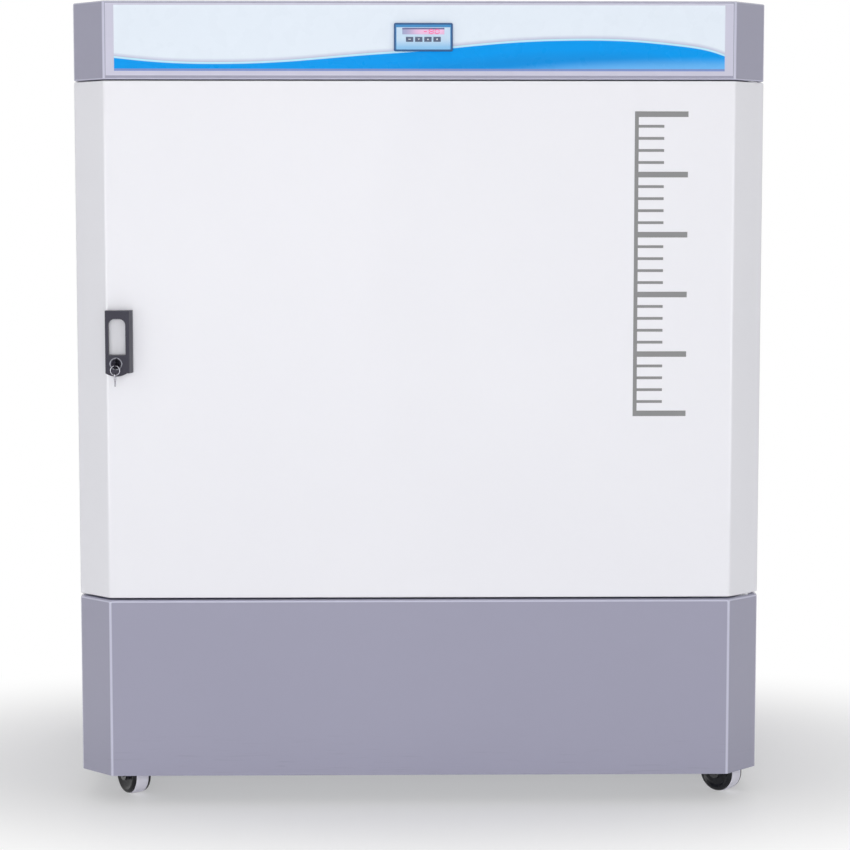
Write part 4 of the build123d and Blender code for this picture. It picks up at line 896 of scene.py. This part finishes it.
@dataclass
class SubAssembly:
    """A part of the freezer that dresses its nodes and adds its fittings."""

    body: str

    def dress(self, nodes: Iterable[str], finish: Finish) -> None:
        """Puts a finish on nodes that keep their own shape.

        Args:
            nodes: names of the nodes.
            finish: what they are made of.
        """
        for name in nodes:
            item = frame["nodes"][name]
            item.data.materials.clear()
            item.data.materials.append(finish.material())
            log.info("%s is dressed in %s", name, finish.title)

    def place(
        self,
        name: str,
        mesh: Mesh,
        finish: Finish,
        slot: str,
        body: Optional[str] = None,
        replaces: Sequence[str] = (),
    ) -> None:
        """Adds a piece that rides on a body.

        Args:
            name: the piece's name.
            mesh: its shape, in the shared frame.
            finish: what it is made of.
            slot: the record's material slot it stands in; it is not used.
            body: the body that carries it, where it isn't the sub-assembly's own.
            replaces: nodes whose place it takes.
        """
        piece = bpy.data.objects.new(name, mesh)
        bpy.context.scene.collection.objects.link(piece)
        mesh.materials.append(finish.material())
        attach(piece, body or self.body)
        if replaces:
            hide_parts(*replaces)
        log.info("%s rides on %s in %s", name, body or self.body, finish.title)

    def build(self) -> None:
        """Builds and dresses the whole sub-assembly."""
        raise NotImplementedError


@dataclass
class Header(SubAssembly):
    """Control housing with its printed panel and temperature controller."""

    body: str = "cabinet"
    shown: str = "-80"
    digit_width_mm: float = 7.0
    digit_height_mm: float = 7.6
    digit_pitch_mm: float = 10.5
    digit_proud_mm: float = 0.15
    digit_margin_mm: float = 6.0
    digit_drop_mm: float = 0.8
    bar_mm: float = 1.3
    bars: tuple[tuple[str, str], ...] = (("-", "g"), ("8", "abcdefg"), ("0", "abcdef"))
    mark_proud_mm: float = 0.12
    dash_mm: Pairs = ((-2.2, -0.7), (2.2, -0.7), (2.2, 0.7), (-2.2, 0.7))
    arrow_mm: Pairs = ((-2.0, -1.3), (2.0, -1.3), (0.0, 1.7))
    dot_mm: float = 1.5
    dot_sides: int = 12

    def build(self) -> None:
        """Dresses the housing, then adds the lit figures and the key marks."""
        self.dress(["header_shell"], GREY_COAT)
        # The bezel's pale lilac is partly a painted highlight.
        self.dress(["panel_bezel"], LILAC_ABS_PAINTED_HIGHLIGHT)
        # Film is clear and even, the controller's moulding satin, and the acrylic nearly a mirror.
        fronts = (
            ("control_overlay", WavePrint, "printed_polyester_film", "#ECF5FF", 0.28),
            ("controller_body", FramedFace, "moulded_blue_controller", "#2B5789", 0.4),
            ("display_window", TintedWindow, "rose_acrylic_window", "#A5A9CF", 0.14),
        )
        for node, kind, title, colour, roughness in fronts:
            low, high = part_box(node)
            self.dress([node], kind(title, colour, roughness, low=tuple(low), high=tuple(high)))
        self.dress(["key_set", "key_down", "key_up", "key_mute"], KEY_SILICONE)
        self.dress(["control_board"], BOARD)
        self.figures()
        self.key_marks()

    def figures(self) -> None:
        """Adds the display's lit figures, each of flat bars."""
        low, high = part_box("display_window")
        middle = (low[2] + high[2]) / 2 - self.digit_drop_mm * MM
        start = high[0] - (len(self.shown) * self.digit_pitch_mm + self.digit_margin_mm) * MM
        near = low[1] - self.digit_proud_mm * MM
        for index, figure in enumerate(self.shown):
            left = start + index * self.digit_pitch_mm * MM
            for bar in dict(self.bars)[figure]:
                name = f"figure_{index}_{bar}"
                mesh = outline_prism(name, self.bar(bar, left, middle), near, low[1])
                self.place(name, mesh, LED, "display")

    def bar(self, bar: str, left: float, middle: float) -> list[tuple[float, float]]:
        """Outline of one bar of a figure.

        Args:
            bar: its letter, from a at the top round to g in the middle.
            left: the figure's left side.
            middle: its middle height.

        Returns:
            The bar's corners, pointed at both ends.
        """
        wide, tall = self.digit_width_mm * MM, self.digit_height_mm * MM
        half = self.bar_mm * MM / 2
        level = bar in "adg"
        if level:
            z = middle + {"a": tall / 2, "g": 0.0, "d": -tall / 2}[bar]
            start, end = left + half, left + wide - half
        else:
            x = left + (wide if bar in "bc" else 0.0)
            low = middle if bar in "bf" else middle - tall / 2
            start, end = low + half / 2, low + tall / 2 - half / 2
        lozenge = (
            (start, 0.0),
            (start + half, -half),
            (end - half, -half),
            (end, 0.0),
            (end - half, half),
            (start + half, half),
        )
        return [(run, z + off) if level else (x - off, run) for run, off in lozenge]

    def key_marks(self) -> None:
        """Adds a plain mark to each key: a dash, two arrows and a dot."""
        turns = [2 * math.pi * i / self.dot_sides for i in range(self.dot_sides)]
        marks = {
            "key_set": self.dash_mm,
            "key_down": [(a, -b) for a, b in reversed(self.arrow_mm)],
            "key_up": self.arrow_mm,
            "key_mute": [(self.dot_mm * math.cos(t), self.dot_mm * math.sin(t)) for t in turns],
        }
        for node, mark in marks.items():
            low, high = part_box(node)
            x, z = (low[0] + high[0]) / 2, (low[2] + high[2]) / 2
            outline = [(x + a * MM, z + b * MM) for a, b in mark]
            near = low[1] - self.mark_proud_mm * MM
            mesh = outline_prism(f"{node}_mark", outline, near, low[1])
            self.place(f"{node}_mark", mesh, LEGEND_INK, "key_plastic", body=node)


@dataclass
class Door(SubAssembly):
    """Main door with its grip, lock and printed scale."""

    body: str = "door"
    scale_left_mm: float = 385.0
    scale_right_mm: float = 481.0
    scale_low_mm: float = 717.0
    scale_pitch_mm: float = 21.5
    scale_ticks: int = 26
    ticks_per_long: int = 5
    spine_mm: float = 7.0
    long_tick_mm: float = 10.0
    short_tick_mm: float = 5.0
    short_share: float = 0.55
    ink_mm: float = 0.12
    washer_mm: Pairs = ((5.1, 0.0), (5.1, 0.25), (5.5, 0.4), (8.4, 0.4), (9.3, 0.05), (9.3, 0.0))
    washer_steps: int = 48
    gasket_width_mm: float = 30.0
    gasket_half: Pairs = (
        (0.12, 0.0),
        (0.04, 0.08),
        (0.04, 0.2),
        (0.14, 0.32),
        (0.14, 0.38),
        (0.0, 0.5),
        (0.0, 0.58),
        (0.1, 0.68),
        (0.1, 0.72),
        (0.03, 0.82),
        (0.05, 0.95),
        (0.12, 1.0),
        (0.44, 1.0),
        (0.47, 0.93),
    )

    def build(self) -> None:
        """Dresses the door's shells and hardware and prints its scale."""
        self.dress(["door_skin", "door_liner"], WHITE_COAT)
        self.dress(["door_foam"], FOAM)
        self.dress(["door_gasket"], SEAL)
        self.dress(["door_bushes"], BREAKER_PVC)
        self.dress(["door_handle"], HANDLE_ABS)
        self.dress(["latch_pocket"], BLACK_ABS)
        self.dress(["lock_barrel"], CHROME)
        self.dress(["lock_plug", "door_key"], PLUG_BLACK)
        self.dress(["key_ring"], NICKEL)
        self.lock_face()
        self.gasket()
        self.scale()

    def lock_face(self) -> None:
        """Adds the lock's black face washer inside its chromed rim."""
        low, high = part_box("lock_barrel")
        centre = Vector(((low[0] + high[0]) / 2, low[1], (low[2] + high[2]) / 2))
        profile = [(radius * MM, rise * MM) for radius, rise in self.washer_mm]
        ring = spun_profile("lock_face", profile, centre, Vector((0, -1, 0)), self.washer_steps)
        self.place("lock_face", ring, PLUG_BLACK, "black_plastic")

    def gasket(self) -> None:
        """Builds the door's soft seal: a ribbed foot, two folds and the magnet's flat pocket."""
        low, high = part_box("door_gasket")
        depth = high[1] - low[1]
        wide = self.gasket_width_mm * MM
        shares = list(self.gasket_half) + [(1.0 - u, v) for u, v in reversed(self.gasket_half)]
        section = [(wide * u, low[1] + depth * v) for u, v in shares]
        work = bmesh.new()
        loops = []
        for sign_x, sign_z in ((-1, -1), (1, -1), (1, 1), (-1, 1)):
            corner_x = low[0] if sign_x < 0 else high[0]
            corner_z = low[2] if sign_z < 0 else high[2]
            corners = [(corner_x - sign_x * u, y, corner_z - sign_z * u) for u, y in section]
            loops.append([work.verts.new(corner) for corner in corners])
        join_rings(work, loops, set())
        mesh = finished("door_seal", work)
        self.place("door_seal", mesh, SEAL, "gasket", replaces=["door_gasket"])

    def scale(self) -> None:
        """Prints a plain graduated scale on the door's upper right."""
        low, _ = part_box("door_skin")
        near, far = low[1] - self.ink_mm * MM, low[1] + self.ink_mm * MM
        left, ink_left = self.scale_left_mm, self.scale_left_mm + self.spine_mm
        top = self.scale_low_mm + self.scale_pitch_mm * (self.scale_ticks - 1)
        margin = self.long_tick_mm / 2
        stripes = [(left, ink_left, self.scale_low_mm - margin, top + margin)]
        for tick in range(self.scale_ticks):
            is_long = tick % self.ticks_per_long == 0
            half = (self.long_tick_mm if is_long else self.short_tick_mm) / 2
            share = 1.0 if is_long else self.short_share
            end = left + (self.scale_right_mm - left) * share
            z = self.scale_low_mm + self.scale_pitch_mm * tick
            stripes.append((ink_left, end, z - half, z + half))
        work = bmesh.new()
        for stripe in stripes:
            x0, x1, z0, z1 = (edge * MM for edge in stripe)
            add_prism(work, [(x0, z0), (x1, z0), (x1, z1), (x0, z1)], near, far)
        self.place("door_scale", finished("door_scale", work), SCALE_INK, "white_paint")


@dataclass
class Cabinet(SubAssembly):
    """Foamed cabinet with its cold chamber, shelves and inner doors."""

    body: str = "cabinet"
    stop_cup_mm: float = 9.0
    screw_play_mm: float = 0.3
    stop_steps: int = 48
    screw_steps: int = 24
    stop_outside: Pairs = (
        (0.0, 0.0),
        (1.0, 0.0),
        (1.0, 0.2),
        (0.94, 0.3),
        (0.94, 0.72),
        (0.86, 0.93),
        (0.74, 1.0),
    )
    stop_cup: Pairs = ((1.0, 1.0), (0.9, 0.45), (0.0, 0.45))
    stop_screw: Pairs = ((0.0, 0.46), (0.85, 0.46), (0.8, 0.56), (0.4, 0.66), (0.0, 0.68))

    def build(self) -> None:
        """Dresses every layer of the cabinet from the case inwards."""
        self.dress(["outer_case"], WHITE_COAT)
        self.dress(["insulation"], FOAM)
        self.dress(["inner_liner", "shelf_lower", "shelf_middle", "shelf_upper"], STAINLESS)
        upright = ["shelf_rails", "latch_strike", "inner_hinge_pins", "door_hinges"]
        self.dress(upright, STAINLESS_UPRIGHT)
        self.dress(["breaker_frame", "inner_door_lower", "inner_door_upper"], BREAKER_PVC)
        self.dress(["evaporator_coil"], COPPER)
        self.stops()

    def stops(self) -> None:
        """Builds the two rubber wall stops, domed, with a screw sunk in each."""
        low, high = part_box("rear_stops")
        r, length = (high[2] - low[2]) / 2, high[1] - low[1]
        cup = self.stop_cup_mm * MM
        head = cup - self.screw_play_mm * MM
        body = [(r * u, length * v) for u, v in self.stop_outside]
        body += [(cup * u, length * v) for u, v in self.stop_cup]
        screw = [(head * u, length * v) for u, v in self.stop_screw]
        out = Vector((0, 1, 0))
        for side, x in (("left", low[0] + r), ("right", high[0] - r)):
            centre = Vector((x, low[1], (low[2] + high[2]) / 2))
            name = f"rear_stop_{side}"
            bumper = spun_profile(name, body, centre, out, self.stop_steps)
            self.place(name, bumper, BLACK_RUBBER, "rubber", replaces=["rear_stops"])
            pan = spun_profile(f"{name}_screw", screw, centre, out, self.screw_steps)
            self.place(f"{name}_screw", pan, BRIGHT_ZINC, "galvanised")


@dataclass
class Base(SubAssembly):
    """Base with its panels, chassis and refrigeration machinery."""

    body: str = "cabinet"
    screw_head_mm: float = 4.2
    screw_crown_mm: float = 2.4
    screw_shank_mm: float = 2.0
    screw_rows: int = 4
    screw_steps: int = 48
    crown_shares: tuple[float, ...] = (0.0, 0.12, 0.24, 0.36, 0.48, 0.56, 0.7, 0.85, 0.95)
    crown_fall: float = 0.35
    rim_share: float = 0.5
    cross_reach: float = 0.6
    cross_half: float = 0.13
    cross_zone: float = 0.4
    cross_depth: float = 0.45

    def build(self) -> None:
        """Dresses the base and the machines inside it."""
        self.dress(["base_front_panel", "base_side_panels"], GREY_COAT)
        self.dress(["rear_cover", "base_chassis", "fan_shroud"], GALVANISED)
        self.dress(["caster_plates"], BRIGHT_ZINC)
        self.screws()
        self.dress(["compressor_high_stage", "compressor_low_stage"], BLACK_ENAMEL)
        self.dress(["condenser_coil"], FIN_STOCK)
        self.dress(["fan_motor", "fan_blades"], CAST_ALUMINIUM)
        self.dress(["cascade_exchanger"], ELASTOMER)
        self.dress(["refrigerant_lines"], COPPER)
        self.dress(["power_inlet", "power_switch"], BLACK_ABS)

    def screws(self) -> None:
        """Builds the rear cover's pan-head screws, each with a cross sunk in its crown."""
        low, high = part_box("cover_screws")
        head, crown, shank = (
            size * MM for size in (self.screw_head_mm, self.screw_crown_mm, self.screw_shank_mm)
        )
        length = high[1] - low[1]
        section = [
            (share * head, length - self.crown_fall * crown * share**2)
            for share in self.crown_shares
        ]
        section += [(head, length - crown * self.rim_share), (head, length - crown)]
        section += [(shank, length - crown), (shank, 0.0), (0.0, 0.0)]
        span = high[2] - low[2] - 2 * head
        for side, x in (("left", low[0] + head), ("right", high[0] - head)):
            for row in range(self.screw_rows):
                z = low[2] + head + span * row / (self.screw_rows - 1)
                name = f"cover_screw_{side}_{row + 1}"
                foot, out = Vector((x, low[1], z)), Vector((0, 1, 0))
                screw = spun_profile(name, section, foot, out, self.screw_steps)
                for vertex in screw.vertices:
                    offsets = (abs(vertex.co.x - x), abs(vertex.co.z - z))
                    in_cross = (
                        max(offsets) < head * self.cross_reach
                        and min(offsets) < head * self.cross_half
                    )
                    if in_cross and vertex.co.y > high[1] - crown * self.cross_zone:
                        vertex.co.y -= crown * self.cross_depth
                self.place(name, screw, BRIGHT_ZINC, "galvanised", replaces=["cover_screws"])


@dataclass
class Caster(SubAssembly):
    """One swivel caster: dark fork, white tread band and black hub with rolled shoulders."""

    corner: str = "front_left"
    radius_mm: float = 37.5
    half_width_mm: float = 19.0
    band_mm: float = 12.5
    wheel_steps: int = 96
    # From the tread's foot to its crown: (depth under the radius, depth inside the band's side).
    tread_side_mm: Pairs = ((6.0, 0.05), (1.4, 0.05), (0.5, 0.9), (0.1, 3.5), (0.0, 6.5))
    # From the bore to the shoulder: (radius, depth under the wheel's side).
    hub_side_mm: Pairs = (
        (4.2, 1.6),
        (7.5, 1.4),
        (9.0, 0.2),
        (11.5, 0.2),
        (13.0, 2.2),
        (23.0, 2.8),
        (27.0, 1.6),
        (29.5, 0.1),
        (32.0, 0.1),
        (34.6, 1.4),
        (36.2, 3.8),
    )
    # The shoulder's lip over the tread's groove: (radius, distance past the band).
    lip_mm: Pairs = ((36.6, 0.9), (36.1, 0.0), (31.45, 0.0))

    def build(self) -> None:
        """Dresses the fork and builds the wheel as tread and hub."""
        self.dress([f"caster_{self.corner}_fork"], BLACK_ENAMEL)
        joint = next(j for j in frame["joints"] if j["name"] == f"caster_{self.corner}_roll")
        wheel = f"caster_{self.corner}_wheel"
        low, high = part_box(wheel)
        centre = (Vector(low) + Vector(high)) / 2
        axle = Vector(joint["axis"])
        tread = spun_profile(f"{wheel}_tread", self.tread(), centre, axle, self.wheel_steps)
        self.place(f"{wheel}_tread", tread, TREAD, "caster_tyre", body=wheel, replaces=[wheel])
        hub = spun_profile(f"{wheel}_hub", self.hub(), centre, axle, self.wheel_steps)
        self.place(f"{wheel}_hub", hub, HUB_ABS, "black_plastic", body=wheel)

    def tread(self) -> list[tuple[float, float]]:
        """Section of the tread: a crowned band let into the hub."""
        r, b = self.radius_mm, self.band_mm
        return self.mirrored([(r - down, b - inward) for down, inward in self.tread_side_mm])

    def hub(self) -> list[tuple[float, float]]:
        """Section of the hub: rolled shoulders, dished caps and a raised boss on each side."""
        side = [(radius, self.half_width_mm - sunk) for radius, sunk in self.hub_side_mm]
        return self.mirrored(side + [(radius, self.band_mm + past) for radius, past in self.lip_mm])

    def mirrored(self, side: Pairs) -> list[tuple[float, float]]:
        """Section of both sides, in metres, from one side's in millimetres."""
        return [(a * MM, c * MM) for a, c in list(side) + [(a, -c) for a, c in reversed(side)]]


@dataclass(frozen=True)
class SoftBox:
    """One soft box lamp: its place, what it faces, its panel and its power."""

    name: str
    spot: Point
    aim: Point
    size: tuple[float, float]
    watts: float
    wash: bool = True
    shine: bool = True

    def set_up(self) -> None:
        """Stands the lamp in the scene; wash lights surfaces, and shine shows in their gloss."""
        data = bpy.data.lights.new(self.name, "AREA")
        data.shape = "RECTANGLE"
        data.size, data.size_y = self.size
        data.energy = self.watts
        lamp = bpy.data.objects.new(self.name, data)
        bpy.context.scene.collection.objects.link(lamp)
        lamp.location = self.spot
        lamp.visible_diffuse = self.wash
        lamp.visible_glossy = self.shine
        way = Vector(self.aim) - Vector(self.spot)
        lamp.rotation_euler = way.to_track_quat("-Z", "Y").to_euler()


MIDDLE = (0.0, -0.3, 0.7)
SIDE_MIDDLE = (0.0, -0.3, 0.75)
LAMPS = (
    SoftBox("front_box", (-0.2, -5.4, 1.05), MIDDLE, (2.6, 1.8), 108.0, shine=False),
    SoftBox("left_box", (-3.3, -3.3, 1.3), MIDDLE, (0.8, 2.4), 6.0),
    SoftBox("right_box", (3.3, -3.3, 1.3), MIDDLE, (0.8, 2.4), 5.0),
    SoftBox("back_box", (0.5, 4.0, 2.4), (0.0, 0.4, 0.9), (3.0, 3.0), 44.0, shine=False),
    # Wide panels that only the gloss shows give the coats their soft sheen.
    SoftBox("left_gloss", (-2.8, -3.1, 0.75), SIDE_MIDDLE, (2.6, 1.3), 24.0, wash=False),
    SoftBox("right_gloss", (2.8, -3.1, 0.75), SIDE_MIDDLE, (2.6, 1.3), 24.0, wash=False),
    SoftBox("top_gloss", (0.0, -2.0, 3.6), MIDDLE, (4.0, 3.0), 26.0, wash=False),
)


@dataclass
class Studio:
    """Pale floor, soft lamps and the camera."""

    lens_mm: float = 97.82
    sensor_mm: float = 36.0
    camera_mm: Point = (-52.57, -4538.5, 1070.7)
    camera_reach_m: float = 60.0
    pitch: float = 0.0897
    yaw: float = 0.0148
    sky: float = 0.39
    floor_reach_m: float = 14.0
    floor_cells: int = 4
    floor_glow: float = 0.36
    glow_oval: Point = (0.62, 1.0, 1.0)
    glow_from_m: float = 0.42
    glow_full_m: float = 1.0
    vinyl: str = "#F8F8F9"
    vinyl_mottle: str = "#F3F3F5"
    mottle_mm: float = 700.0

    def build(self) -> None:
        """Sets the world, the floor, the lamps and the camera."""
        scene = bpy.context.scene
        scene.view_settings.view_transform = "Standard"
        self.world(scene)
        self.floor()
        for lamp in LAMPS:
            lamp.set_up()
        self.camera(scene)
        log.info("studio is set")

    def world(self, scene: bpy.types.Scene) -> None:
        """Lights evenly and shows plain white behind the object.

        Args:
            scene: the scene that takes the world.
        """
        world = bpy.data.worlds.new("pale_room")
        scene.world = world
        world.use_nodes = True
        tree = world.node_tree
        tree.nodes.clear()
        limits = {"To Min": self.sky, "To Max": 1.0}
        strength = add_node(tree, "ShaderNodeMapRange", limits, {"Value": shown_rays(tree)})
        links = {"Strength": strength.outputs[0]}
        back = add_node(tree, "ShaderNodeBackground", {"Color": WHITE}, links)
        add_node(tree, "ShaderNodeOutputWorld", links={"Surface": back.outputs[0]})

    def floor(self) -> None:
        """Adds the white floor, which keeps the object's shadow near it."""
        mesh = bpy.data.meshes.new("floor")
        work = bmesh.new()
        cells = self.floor_cells
        bmesh.ops.create_grid(work, x_segments=cells, y_segments=cells, size=self.floor_reach_m)
        work.to_mesh(mesh)
        work.free()
        mesh.materials.append(self.floor_vinyl())
        floor = bpy.data.objects.new("floor", mesh)
        bpy.context.scene.collection.objects.link(floor)

    def floor_vinyl(self) -> bpy.types.Material:
        """Makes matt white vinyl that fades into the room's plain white away from the object.

        Returns:
            The floor's material.
        """
        made = bpy.data.materials.new("white_studio_vinyl")
        made.use_nodes = True
        tree = made.node_tree
        tree.nodes.clear()
        place = add_node(tree, "ShaderNodeTexCoord").outputs["Object"]
        oval = add_node(tree, "ShaderNodeMapping", {"Scale": self.glow_oval}, {"Vector": place})
        links = {0: oval.outputs[0]}
        reach = add_node(tree, "ShaderNodeVectorMath", {"operation": "LENGTH"}, links)
        limits = {
            "interpolation_type": "SMOOTHSTEP",
            "From Min": self.glow_from_m,
            "From Max": self.glow_full_m,
            "To Min": self.floor_glow,
        }
        fade = add_node(tree, "ShaderNodeMapRange", limits, {"Value": reach.outputs["Value"]})
        links = {0: fade.outputs[0], 1: shown_rays(tree)}
        glow = add_node(tree, "ShaderNodeMath", {"operation": "MULTIPLY"}, links)
        settings = {"Scale": per_mm(self.mottle_mm), "Detail": 2.0}
        mottle = add_node(tree, "ShaderNodeTexNoise", settings, {"Vector": place})
        settings = {"data_type": "RGBA", 6: linear(self.vinyl), 7: linear(self.vinyl_mottle)}
        tone = add_node(tree, "ShaderNodeMix", settings, {0: mottle.outputs[0]})
        vinyl = add_node(
            tree,
            "ShaderNodeBsdfPrincipled",
            {"Roughness": 0.55, "Specular IOR Level": 0.2},
            {"Base Color": tone.outputs[2]},
        )
        white = add_node(tree, "ShaderNodeEmission", {"Color": WHITE})
        links = {0: glow.outputs[0], 1: vinyl.outputs[0], 2: white.outputs[0]}
        mixed = add_node(tree, "ShaderNodeMixShader", links=links)
        add_node(tree, "ShaderNodeOutputMaterial", links={"Surface": mixed.outputs[0]})
        return made

    def camera(self, scene: bpy.types.Scene) -> None:
        """Stands the camera in front of the freezer, a little left of its middle.

        Args:
            scene: the scene that looks through it.
        """
        data = bpy.data.cameras.new("front_view")
        data.lens = self.lens_mm
        data.sensor_width = self.sensor_mm
        data.sensor_fit = "HORIZONTAL"
        data.clip_end = self.camera_reach_m
        camera = bpy.data.objects.new("front_view", data)
        scene.collection.objects.link(camera)
        camera.location = Vector(self.camera_mm) * MM
        camera.rotation_euler = (math.pi / 2 - self.pitch, 0.0, -self.yaw)
        scene.camera = camera


def main() -> None:
    """Builds the studio and each sub-assembly in order, and reports them."""
    logging.basicConfig(level=logging.INFO, format="%(name)s: %(message)s")
    parts: list[SubAssembly] = [Header(), Door(), Cabinet(), Base()]
    for corner in ("front_left", "front_right", "rear_left", "rear_right"):
        parts.append(Caster(f"caster_{corner}_fork", corner=corner))
    Studio().build()
    for part in parts:
        part.build()
        log.info("%s is built", type(part).__name__)


if __name__ == "__main__":
    main()
